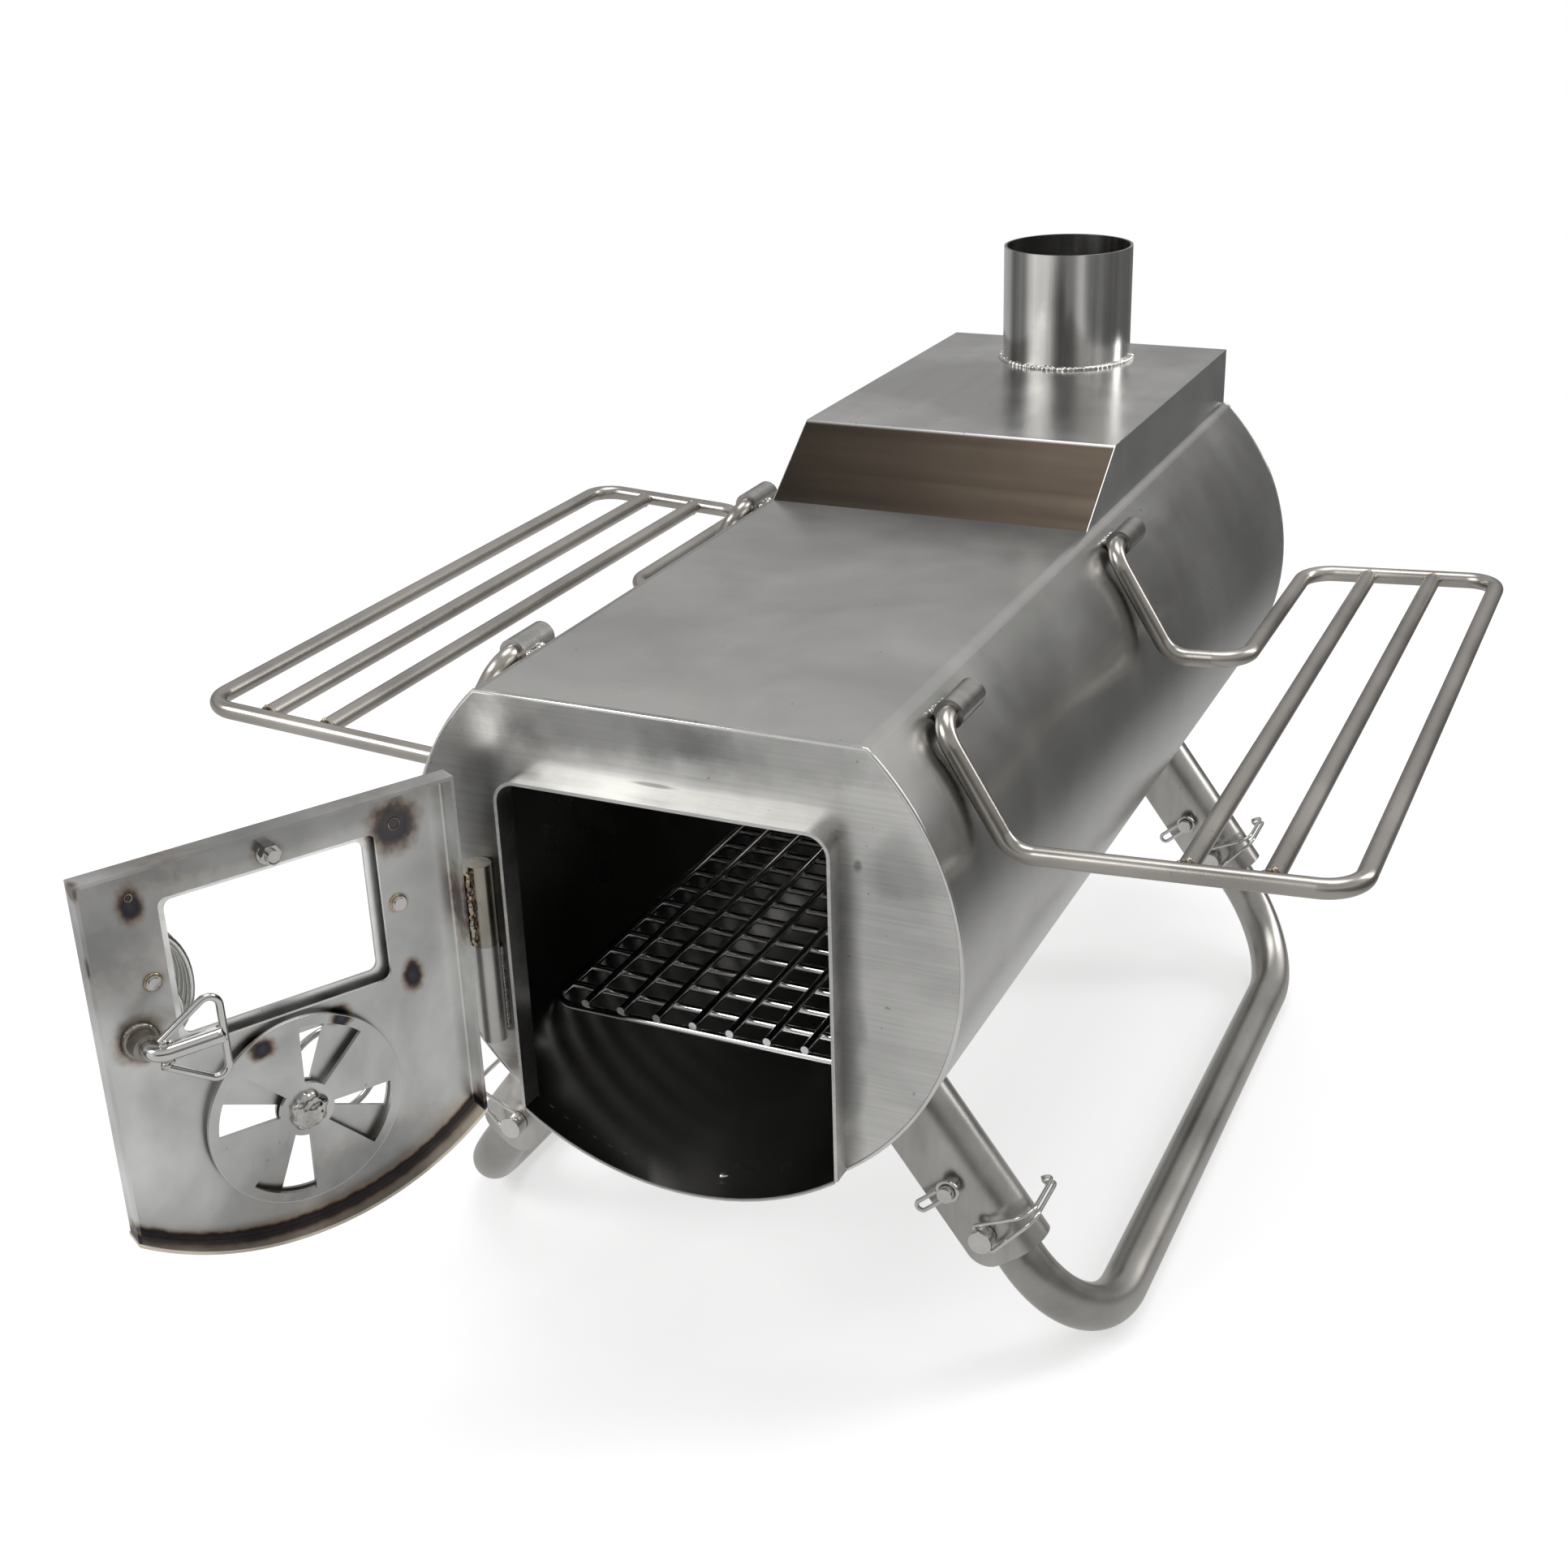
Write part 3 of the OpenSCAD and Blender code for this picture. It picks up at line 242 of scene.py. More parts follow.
speck_ramp.inputs["To Max"].default_value = 0.35
smudge_by = n.new("ShaderNodeMath")
smudge_by.operation = "MULTIPLY"
grain_by = n.new("ShaderNodeMath")
grain_by.operation = "MULTIPLY"
both = n.new("ShaderNodeMath")
both.operation = "ADD"
no_specks = n.new("ShaderNodeMath")
no_specks.operation = "SUBTRACT"
level = n.new("ShaderNodeMath")
level.operation = "ADD"
level.inputs[1].default_value = 1
tone = n.new("ShaderNodeVectorMath")
tone.operation = "SCALE"
rough_swing = n.new("ShaderNodeMath")
rough_swing.operation = "MULTIPLY_ADD"
rough_swing.inputs[1].default_value = 0.22
link.new(given.outputs["Place"], clouds.inputs["Vector"])
link.new(given.outputs["Place"], specks.inputs["Vector"])
link.new(given.outputs["Brush"], lines.inputs["Vector"])
link.new(clouds.outputs["Fac"], cloud_ramp.inputs["Value"])
link.new(lines.outputs["Fac"], line_ramp.inputs["Value"])
link.new(specks.outputs["Fac"], speck_ramp.inputs["Value"])
link.new(cloud_ramp.outputs["Result"], smudge_by.inputs[0])
link.new(given.outputs["Smudges"], smudge_by.inputs[1])
link.new(line_ramp.outputs["Result"], grain_by.inputs[0])
link.new(given.outputs["Grain"], grain_by.inputs[1])
link.new(smudge_by.outputs[0], both.inputs[0])
link.new(grain_by.outputs[0], both.inputs[1])
link.new(both.outputs[0], no_specks.inputs[0])
link.new(speck_ramp.outputs["Result"], no_specks.inputs[1])
link.new(no_specks.outputs[0], level.inputs[0])
link.new(given.outputs["Steel"], tone.inputs[0])
link.new(level.outputs[0], tone.inputs["Scale"])
link.new(tone.outputs["Vector"], given_back.inputs["Color"])
link.new(both.outputs[0], rough_swing.inputs[0])
link.new(given.outputs["Gloss"], rough_swing.inputs[2])
link.new(rough_swing.outputs[0], given_back.inputs["Roughness"])
link.new(grain_by.outputs[0], given_back.inputs["Height"])


def steel(name, tint, brush=(60, 60, 60), smudges=0.3, grain=0.25, gloss=0.3, depth=0.00002, mark=None):
    """A stainless finish. brush gives how fine the drawn lines run along X, Y and Z.
    mark, where given, is called with the material's nodes, links, place and colour,
    and gives back the marked colour."""
    material = bpy.data.materials.new(name)
    material.use_nodes = True
    n, link = material.node_tree.nodes, material.node_tree.links
    metal = n["Principled BSDF"]
    metal.inputs["Metallic"].default_value = 1
    place = n.new("ShaderNodeTexCoord")
    lay = n.new("ShaderNodeMapping")
    lay.inputs["Scale"].default_value = brush
    skin = n.new("ShaderNodeGroup")
    skin.node_tree = steel_skin
    skin.inputs["Steel"].default_value = (*tint, 1)
    skin.inputs["Smudges"].default_value = smudges
    skin.inputs["Grain"].default_value = grain
    skin.inputs["Gloss"].default_value = gloss
    bump = n.new("ShaderNodeBump")
    bump.inputs["Strength"].default_value = 0.6
    bump.inputs["Distance"].default_value = depth
    link.new(place.outputs["Object"], lay.inputs["Vector"])
    link.new(place.outputs["Object"], skin.inputs["Place"])
    link.new(lay.outputs["Vector"], skin.inputs["Brush"])
    colour = skin.outputs["Color"]
    if mark:
        colour = mark(n, link, place.outputs["Object"], colour)
    link.new(colour, metal.inputs["Base Color"])
    link.new(skin.outputs["Roughness"], metal.inputs["Roughness"])
    link.new(skin.outputs["Height"], bump.inputs["Height"])
    link.new(bump.outputs["Normal"], metal.inputs["Normal"])
    return material


def wears(material, *names):
    """Each CAD node named wears the material."""
    for name in names:
        nodes[name].data.materials.clear()
        nodes[name].data.materials.append(material)


SHELL_AXIS_HEIGHT = 0.17956
SHELL_INNER_RADIUS = 0.0993
FLAT_TOP_UNDERSIDE = 0.2515


def painted_inner_shade(n, link, place, colour):
    """Painted shade on the inner side of the rolled sheet: near enough to the axis and under the flat top."""
    axis = n.new("ShaderNodeMapping")
    axis.vector_type = "TEXTURE"
    axis.inputs["Location"].default_value = (0, 0, SHELL_AXIS_HEIGHT)
    axis.inputs["Scale"].default_value = (1, 1e6, 1)
    reach = n.new("ShaderNodeVectorMath")
    reach.operation = "LENGTH"
    round_part = n.new("ShaderNodeMath")
    round_part.operation = "LESS_THAN"
    round_part.inputs[1].default_value = SHELL_INNER_RADIUS
    height = n.new("ShaderNodeSeparateXYZ")
    under_top = n.new("ShaderNodeMath")
    under_top.operation = "LESS_THAN"
    under_top.inputs[1].default_value = FLAT_TOP_UNDERSIDE
    inner = n.new("ShaderNodeMath")
    inner.operation = "MULTIPLY"
    tint = n.new("ShaderNodeMix")
    tint.data_type = "RGBA"
    tint.inputs[7].default_value = (0.28, 0.275, 0.265, 1)
    link.new(place, axis.inputs["Vector"])
    link.new(axis.outputs[0], reach.inputs[0])
    link.new(reach.outputs["Value"], round_part.inputs[0])
    link.new(place, height.inputs[0])
    link.new(height.outputs["Z"], under_top.inputs[0])
    link.new(round_part.outputs[0], inner.inputs[0])
    link.new(under_top.outputs[0], inner.inputs[1])
    link.new(inner.outputs[0], tint.inputs[0])
    link.new(colour, tint.inputs[6])
    return tint.outputs[2]


wears(steel("rolled_sheet", (0.58, 0.575, 0.555), brush=(8, 8, 160), smudges=0.24, grain=0.04, gloss=0.25,
            mark=painted_inner_shade), "barrel_shell")


# Front and back plates. Flat stainless plates welded inside the ends of the
# shell and ground flush, which leaves short brush lines across them and one
# bright rounded edge all round.
patch = bpy.data.node_groups.new("smudge_and_shade_patch", "ShaderNodeTree")
for label, kind in (("Place", "NodeSocketVector"), ("Spot", "NodeSocketVector"), ("Color", "NodeSocketColor"),
                    ("Shade", "NodeSocketFloat")):
    patch.interface.new_socket(label, in_out="INPUT", socket_type=kind)
patch.interface.new_socket("Color", in_out="OUTPUT", socket_type="NodeSocketColor")
n, link = patch.nodes, patch.links
given = n.new("NodeGroupInput")
given_back = n.new("NodeGroupOutput")
reach = n.new("ShaderNodeVectorMath")
reach.operation = "LENGTH"
waver = n.new("ShaderNodeTexNoise")
waver.inputs["Scale"].default_value = 70
waver.inputs["Detail"].default_value = 3
wobble = n.new("ShaderNodeMath")
wobble.operation = "MULTIPLY_ADD"
wobble.inputs[1].default_value = 0.9
inside = n.new("ShaderNodeMapRange")
inside.interpolation_type = "SMOOTHSTEP"
inside.inputs["From Min"].default_value = 1.45
inside.inputs["From Max"].default_value = 0.75
level = n.new("ShaderNodeMix")
level.data_type = "FLOAT"
level.inputs[2].default_value = 1
tone = n.new("ShaderNodeVectorMath")
tone.operation = "SCALE"
link.new(given.outputs["Spot"], reach.inputs[0])
link.new(given.outputs["Place"], waver.inputs["Vector"])
link.new(waver.outputs["Fac"], wobble.inputs[0])
link.new(reach.outputs["Value"], wobble.inputs[2])
link.new(wobble.outputs[0], inside.inputs["Value"])
link.new(inside.outputs["Result"], level.inputs[0])
link.new(given.outputs["Shade"], level.inputs[3])
link.new(given.outputs["Color"], tone.inputs[0])
link.new(level.outputs[0], tone.inputs["Scale"])
link.new(tone.outputs["Vector"], given_back.inputs["Color"])


FRONT_FACE_Y = -159.97
AXIS_Z = 179.564


def stove_point(x, y, z):
    """A place from millimetres across the axis, behind the front plate's face and above the axis."""
    return Vector((x, y + FRONT_FACE_Y, z + AXIS_Z)) / 1000


def patches(*spots):
    """A mark of soft-edged patches, some smudges and some painted shade and reflection: each a place on the
    stove, its radii along X, Y and Z, and how light it leaves the steel."""
    def mark(n, link, place, colour):
        for centre, radii, shade in spots:
            lay = n.new("ShaderNodeMapping")
            lay.vector_type = "TEXTURE"
            lay.inputs["Location"].default_value = stove_point(*centre)
            lay.inputs["Scale"].default_value = [r / 1000 for r in radii]
            spot = n.new("ShaderNodeGroup")
            spot.node_tree = patch
            spot.inputs["Shade"].default_value = shade
            link.new(place, lay.inputs["Vector"])
            link.new(place, spot.inputs["Place"])
            link.new(lay.outputs[0], spot.inputs["Spot"])
            link.new(colour, spot.inputs["Color"])
            colour = spot.outputs["Color"]
        return colour
    return mark


# Some patches on the plates are smudges and marks on the steel; the dark ones over the upper left, along the
# top, in the strips beside the opening and at the dent are painted shade and reflection.
wears(steel("ground_plate", (0.64, 0.635, 0.615), brush=(18, 300, 900), smudges=0.4, grain=0.17, gloss=0.33,
            depth=0.000006, mark=patches(
                ((-76, 0, 38), (44, 12, 44), 0.55), ((-66.4, 0, 59), (10, 12, 13), 1.3),
                ((-20, 0, 66), (70, 12, 15), 0.55), ((34, 0, 66), (60, 12, 13), 0.7),
                ((80, 0, 33), (15, 12, 15), 0.7), ((61.5, 0, -20), (7, 8, 90), 0.6),
                ((-64, 0, -10), (9, 12, 70), 0.7), ((-4, 0, 48.6), (11, 3, 0.9), 0.5),
                ((65.6, 0, 32.7), (1.9, 3, 2.9), 0.5), ((50, 442, 10), (60, 12, 44), 0.8),
                ((-45, 442, -35), (50, 12, 38), 1.15))),
      "front_plate", "back_plate")


def dress(piece, name, body, material):
    """Names a finished piece, gives it its finish, and fixes it to its body."""
    piece.name = name
    piece.data.materials.clear()
    piece.data.materials.append(material)
    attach(piece, body)
    piece.select_set(False)
    return piece


def drops(name, body, spots, material, voxel=0.00035, flow=6):
    """A weld: drops of metal, each a place and a radius in millimetres, that have run together."""
    bpy.ops.object.select_all(action="DESELECT")
    made = []
    for place, radius in spots:
        bpy.ops.mesh.primitive_ico_sphere_add(subdivisions=2, radius=radius / 1000, location=place)
        made.append(bpy.context.object)
    for piece in made:
        piece.select_set(True)
    bpy.context.view_layer.objects.active = made[0]
    bpy.ops.object.join()
    piece = bpy.context.object
    bpy.ops.object.transform_apply(location=True, rotation=True, scale=True)
    melt = piece.modifiers.new("melt", "REMESH")
    melt.mode = "VOXEL"
    melt.voxel_size = voxel
    melt.use_smooth_shade = True
    bpy.ops.object.modifier_apply(modifier="melt")
    soften = piece.modifiers.new("soften", "SMOOTH")
    soften.iterations = flow
    bpy.ops.object.modifier_apply(modifier="soften")
    return dress(piece, name, body, material)


def heat_colours(n, link, place, colour):
    """Patches of straw, bronze and blue, as a weld leaves them."""
    stains = n.new("ShaderNodeTexNoise")
    stains.inputs["Scale"].default_value = 170
    stains.inputs["Detail"].default_value = 3
    oxide = n.new("ShaderNodeValToRGB")
    oxide.color_ramp.elements[0].position = 0.36
    oxide.color_ramp.elements[0].color = (0.42, 0.40, 0.37, 1)
    oxide.color_ramp.elements[1].position = 0.72
    oxide.color_ramp.elements[1].color = (0.08, 0.10, 0.15, 1)
    for at, shade in ((0.47, (0.46, 0.35, 0.21, 1)), (0.56, (0.24, 0.13, 0.08, 1)),
                      (0.63, (0.13, 0.10, 0.12, 1))):
        oxide.color_ramp.elements.new(at).color = shade
    tint = n.new("ShaderNodeMix")
    tint.data_type = "RGBA"
    tint.inputs[0].default_value = 0.8
    link.new(place, stains.inputs["Vector"])
    link.new(stains.outputs["Fac"], oxide.inputs["Fac"])
    link.new(colour, tint.inputs[6])
    link.new(oxide.outputs["Color"], tint.inputs[7])
    return tint.outputs[2]


weld_metal = steel("weld_metal", (0.55, 0.53, 0.50), brush=(300, 300, 300), smudges=0.4, grain=0.3, gloss=0.22,
                   mark=heat_colours)
bright_weld = steel("bright_weld", (0.60, 0.59, 0.56), brush=(300, 300, 300), smudges=0.6, grain=0.4,
                    gloss=0.18)
# The seam's light tone is partly a painted highlight, standing in for the light its rounded edge catches.
ground_seam_highlight = steel("ground_seam_highlight", (0.78, 0.77, 0.75), brush=(200, 200, 200), smudges=0.2, grain=0.1,
                    gloss=0.16)
SEAM_RADIUS = 99.55
for name, y in (("front_seam", 0.45), ("back_seam", 442.55)):
    outline = []
    for step in range(121):
        turned = math.radians(43.9 + step * 272.2 / 120)
        outline.append((SEAM_RADIUS * math.sin(turned), SEAM_RADIUS * math.cos(turned)))
    path = bpy.data.curves.new(name, "CURVE")
    path.dimensions = "3D"
    path.bevel_depth = 0.0008
    path.bevel_resolution = 3
    line = path.splines.new("POLY")
    line.points.add(len(outline) - 1)
    for point, (x, z) in zip(line.points, outline):
        point.co = (*stove_point(x, y, min(z, 72.15)), 1)
    line.use_cyclic_u = True
    seam = bpy.data.objects.new(name, path)
    bpy.context.scene.collection.objects.link(seam)
    bpy.context.view_layer.objects.active = seam
    seam.select_set(True)
    bpy.ops.object.convert(target="MESH")
    bpy.ops.object.shade_smooth()
    dress(bpy.context.object, name, "stove", ground_seam_highlight)
drops("sill_drop", "stove", [(stove_point(10.7, 5, -98.7), 1.6), (stove_point(12.2, 5.4, -98.6), 1.1)],
      bright_weld)


# Smoke box. One folded cover, welded on the flat top, that leads the smoke to
# the flue. Its sloped front was heated by the weld and ground, and is brown.
def brown_slope(n, link, place, colour):
    """Straw and brown heat colours on the sloped front, up to its top bend."""
    where = n.new("ShaderNodeSeparateXYZ")
    slope = n.new("ShaderNodeMapRange")
    slope.interpolation_type = "SMOOTHSTEP"
    slope.inputs["From Min"].default_value = 0.1005
    slope.inputs["From Max"].default_value = 0.1025
    slope.inputs["To Min"].default_value = 1
    slope.inputs["To Max"].default_value = 0
    width = n.new("ShaderNodeMath")
    width.operation = "ABSOLUTE"
    front = n.new("ShaderNodeMath")
    front.operation = "LESS_THAN"
    front.inputs[1].default_value = 0.0669
    both = n.new("ShaderNodeMath")
    both.operation = "MULTIPLY"
    tint = n.new("ShaderNodeMix")
    tint.data_type = "RGBA"
    brown = n.new("ShaderNodeValToRGB")
    brown.color_ramp.elements[0].color = (0.026, 0.019, 0.015, 1)
    brown.color_ramp.elements[1].color = (0.080, 0.064, 0.048, 1)
    streaks = n.new("ShaderNodeTexNoise")
    streaks.inputs["Scale"].default_value = 1
    streaks.inputs["Detail"].default_value = 3
    lay = n.new("ShaderNodeMapping")
    lay.inputs["Scale"].default_value = (7, 120, 120)
    link.new(place, lay.inputs["Vector"])
    link.new(lay.outputs[0], streaks.inputs["Vector"])
    link.new(streaks.outputs["Fac"], brown.inputs["Fac"])
    link.new(place, where.inputs[0])
    link.new(where.outputs["Y"], slope.inputs["Value"])
    link.new(where.outputs["X"], width.inputs[0])
    link.new(width.outputs[0], front.inputs[0])
    link.new(slope.outputs["Result"], both.inputs[0])
    link.new(front.outputs[0], both.inputs[1])
    link.new(both.outputs[0], tint.inputs[0])
    link.new(colour, tint.inputs[6])
    link.new(brown.outputs["Color"], tint.inputs[7])
    return tint.outputs[2]


wears(steel("folded_cover", (0.69, 0.685, 0.67), brush=(90, 8, 90), smudges=0.25, grain=0.06, gloss=0.25,
            depth=0.000004, mark=brown_slope), "smoke_box")


# Flue collar. A short thin-walled tube that the first flue pipe slips over,
# drawn bright lengthwise, with a straight weld seam and a bead at its foot. Its bright and dark bands are
# painted reflections.
COLLAR_Y = 408.5


def painted_reflection_bands(n, link, place, colour):
    """Painted reflection: bright and dark bands down the tube, standing in for the room it mirrors.
    Each band is a share of the way round, and a grey."""
    axis = n.new("ShaderNodeMapping")
    axis.vector_type = "TEXTURE"
    axis.inputs["Location"].default_value = stove_point(0, COLLAR_Y, 0)
    around = n.new("ShaderNodeTexGradient")
    around.gradient_type = "RADIAL"
    bands = n.new("ShaderNodeValToRGB")
    bands.color_ramp.interpolation = "EASE"
    bands.color_ramp.elements[0].color = (0.5, 0.5, 0.5, 1)
    bands.color_ramp.elements[1].color = (0.5, 0.5, 0.5, 1)
    for at, grey in ((0.07, 0.5), (0.115, 0.5), (0.145, 0.16), (0.175, 0.28), (0.215, 1.0), (0.245, 0.98),
                     (0.285, 0.26), (0.305, 0.30), (0.345, 1.0), (0.375, 0.9), (0.425, 0.62), (0.49, 0.7),
                     (0.53, 1.0), (0.62, 0.35), (0.72, 0.9), (0.86, 0.4)):
        bands.color_ramp.elements.new(at).color = (grey, grey, grey, 1)
    tint = n.new("ShaderNodeVectorMath")
    tint.operation = "MULTIPLY"
    link.new(place, axis.inputs["Vector"])
    link.new(axis.outputs[0], around.inputs["Vector"])
    link.new(around.outputs["Fac"], bands.inputs["Fac"])
    link.new(colour, tint.inputs[0])
    link.new(bands.outputs["Color"], tint.inputs[1])
    return tint.outputs[0]


wears(steel("drawn_tube", (0.95, 0.94, 0.91), brush=(170, 170, 3), smudges=0.2, grain=0.3, gloss=0.18,
            depth=0.00003, mark=painted_reflection_bands), "flue_collar")


ring = []
for step in range(78):
    turned = math.radians(step * 360 / 78)
    swell = 1.55 + 0.3 * math.sin(step * 2.4) * math.sin(step * 0.9)
    ring.append((stove_point(30.0 * math.cos(turned), COLLAR_Y + 30.0 * math.sin(turned), 98.0), swell))
drops("collar_weld", "stove", ring, bright_weld, flow=3)


# Rack sleeves, and the racks of bent rod that turn in them. The rods are drawn
# stainless, left with brown streaks along them, and the two inner bars are
# butted in and tacked at their ends.
rod_finish = steel("drawn_rod", (0.46, 0.435, 0.40), brush=(40, 9, 40), smudges=0.3, grain=0.1, gloss=0.29,
                   depth=0.000002)
wears(rod_finish, "right_rack_frame", "right_rack_bars", "left_rack_frame", "left_rack_bars")
wears(steel("cut_tube", (0.50, 0.49, 0.47), brush=(200, 200, 200), smudges=0.3, grain=0.2, gloss=0.25),
      "right_front_sleeve", "right_rear_sleeve", "left_front_sleeve", "left_rear_sleeve")


for side, way in (("right", 1), ("left", -1)):
    for end, start in (("front", 41.3), ("rear", 227.1)):
        tack = [(stove_point(way * (73.6 + 0.4 * math.sin(k * 2.1)), start + 1.0 + 2.3 * k,
                             68.4 + 0.3 * math.cos(k * 1.7)),
                 1.5 + 0.25 * math.sin(k * 3.3)) for k in range(5)]
        drops(f"{side}_{end}_sleeve_weld", "stove", tack, bright_weld)
    tacks = []
    for x, z in ((184.55, 33.3), (158.7, 31.86)):
        for y, inward in ((35.9, 1), (328.6, -1)):
            for dx, dz, radius in ((2.7, 0.6, 1.25), (-2.6, 0.9, 1.35), (0.4, 2.7, 1.2), (-0.3, -2.7, 1.2)):
                tacks.append((stove_point(way * (x + dx), y + 0.2 * inward, z + dz), radius))
    drops(f"{side}_rack_welds", f"{side}_rack", tacks, weld_metal)


# Legs: bent stainless tube, one loop on each side, folded brackets that hold
# them, pivot pins with split cotters, and lock pins on sprung wire bails.
wears(steel("leg_tube", (0.40, 0.385, 0.36), brush=(60, 10, 60), smudges=0.25, grain=0.2, gloss=0.3),
      "right_leg", "left_leg")
bracket_sheet = steel("bracket_sheet", (0.48, 0.465, 0.44), brush=(120, 120, 20), smudges=0.4, grain=0.2,
                      gloss=0.3)
bright_pin = steel("bright_pin", (0.66, 0.65, 0.63), brush=(90, 90, 90), smudges=0.25, grain=0.15, gloss=0.14)
for side in ("right", "left"):
    for end in ("front", "rear"):
        wears(bracket_sheet, f"{side}_{end}_bracket")
        wears(bright_pin, f"{side}_{end}_pivot_pin", f"{side}_{end}_cotter", f"{side}_{end}_lock_pin",
              f"{side}_{end}_bail")


for side, way in (("right", 1), ("left", -1)):
    for end, y in (("front", 49.2), ("rear", 365.9)):
        seam = []
        for k in range(5):
            for wall in (-9.3, 9.3):
                turned = math.radians(51.5 + 1.5 * k)
                seam.append((stove_point(way * 100.7 * math.cos(turned), y + wall, -100.7 * math.sin(turned)),
                             1.0 + 0.15 * (k % 2)))
        drops(f"{side}_{end}_bracket_weld", "stove", seam, weld_metal)


# Hinge. Two turned knuckles on one pin: the lower one welded to the front
# plate, the upper one to the door's rim.
wears(steel("turned_knuckle", (0.56, 0.55, 0.53), brush=(80, 80, 20), smudges=0.3, grain=0.2, gloss=0.38),
      "hinge_knuckle_lower")
wears(steel("heated_knuckle", (0.40, 0.375, 0.32), brush=(80, 80, 20), smudges=0.7, grain=0.3, gloss=0.28),
      "hinge_knuckle_upper")
wears(bright_pin, "hinge_pin")


DOOR_TURN = math.radians(119)
HINGE_X = -70.4
HINGE_Y = -4.7


def door_point(u, y, z):
    """A place from millimetres along the shut door, behind its hinge side's face
    and above the axis, with the door open."""
    du, dy = u - HINGE_X, y - HINGE_Y
    return stove_point(HINGE_X + du * math.cos(DOOR_TURN) + dy * math.sin(DOOR_TURN),
                       HINGE_Y - du * math.sin(DOOR_TURN) + dy * math.cos(DOOR_TURN), z)


strip = [(door_point(-64.9 + 0.5 * math.sin(k * 2.6), -3.0 + 0.3 * math.cos(k * 1.9), 8.4 - 1.75 * k),
          1.8 + 0.4 * math.sin(k * 1.3)) for k in range(15)]
drops("hinge_weld", "door", strip, weld_metal)
drops("hinge_post_weld", "stove",
      [(stove_point(-67.2, -0.8, -22 - 1.6 * k), 0.9 + 0.1 * math.sin(k * 2)) for k in range(20)],
      nodes["hinge_knuckle_lower"].data.materials[0])


# Door. A stainless plate with its edges folded back, a window, four air slots
# and a slotted damper disc inside. Welding from the other side has left dark
# blooms on it, each a blue-black spot in a ring of brown and straw.
bloom = bpy.data.node_groups.new("weld_bloom", "ShaderNodeTree")
for label, kind in (("Place", "NodeSocketVector"), ("Spot", "NodeSocketVector"), ("Color", "NodeSocketColor"),
                    ("Depth", "NodeSocketFloat")):
    bloom.interface.new_socket(label, in_out="INPUT", socket_type=kind)
bloom.interface.new_socket("Color", in_out="OUTPUT", socket_type="NodeSocketColor")
n, link = bloom.nodes, bloom.links
given = n.new("NodeGroupInput")
given_back = n.new("NodeGroupOutput")
reach = n.new("ShaderNodeVectorMath")
reach.operation = "LENGTH"
waver = n.new("ShaderNodeTexNoise")
waver.inputs["Scale"].default_value = 260
waver.inputs["Detail"].default_value = 2
wobble = n.new("ShaderNodeMath")
wobble.operation = "MULTIPLY_ADD"
wobble.inputs[1].default_value = 0.45
edge = n.new("ShaderNodeMath")
edge.operation = "SUBTRACT"
edge.inputs[1].default_value = 0.225
burn = n.new("ShaderNodeValToRGB")
burn.color_ramp.elements[0].position = 0.0
burn.color_ramp.elements[0].color = (0.055, 0.055, 0.07, 0.96)
burn.color_ramp.elements[1].position = 1.0
burn.color_ramp.elements[1].color = (0.45, 0.37, 0.26, 0)
for at, shade in ((0.42, (0.035, 0.032, 0.04, 0.97)), (0.56, (0.09, 0.05, 0.035, 0.9)),
                  (0.72, (0.26, 0.17, 0.10, 0.6))):
    burn.color_ramp.elements.new(at).color = shade
amount = n.new("ShaderNodeMath")
amount.operation = "MULTIPLY"
tint = n.new("ShaderNodeMix")
tint.data_type = "RGBA"
link.new(given.outputs["Spot"], reach.inputs[0])
link.new(given.outputs["Place"], waver.inputs["Vector"])
link.new(waver.outputs["Fac"], wobble.inputs[0])
link.new(reach.outputs["Value"], wobble.inputs[2])
link.new(wobble.outputs[0], edge.inputs[0])
link.new(edge.outputs[0], burn.inputs["Fac"])
link.new(burn.outputs["Alpha"], amount.inputs[0])
link.new(given.outputs["Depth"], amount.inputs[1])
link.new(amount.outputs[0], tint.inputs[0])
link.new(given.outputs["Color"], tint.inputs[6])
link.new(burn.outputs["Color"], tint.inputs[7])
link.new(tint.outputs[2], given_back.inputs["Color"])


def blooms(*spots):
    """A mark that lays blooms on the door: each a place on the shut door,
    its radii along it, through it and up, and its depth."""
    def mark(n, link, place, colour):
        for centre, radii, depth in spots:
            lay = n.new("ShaderNodeMapping")
            lay.vector_type = "TEXTURE"
            lay.inputs["Location"].default_value = door_point(*centre)
            lay.inputs["Rotation"].default_value = (0, 0, -DOOR_TURN)
            lay.inputs["Scale"].default_value = [r / 1000 for r in radii]
            spot = n.new("ShaderNodeGroup")
            spot.node_tree = bloom
            spot.inputs["Depth"].default_value = depth
            link.new(place, lay.inputs["Vector"])
            link.new(place, spot.inputs["Place"])
            link.new(lay.outputs[0], spot.inputs["Spot"])
            link.new(colour, spot.inputs["Color"])
            colour = spot.outputs["Color"]
        return burnt_edge(n, link, place, colour)
    return mark


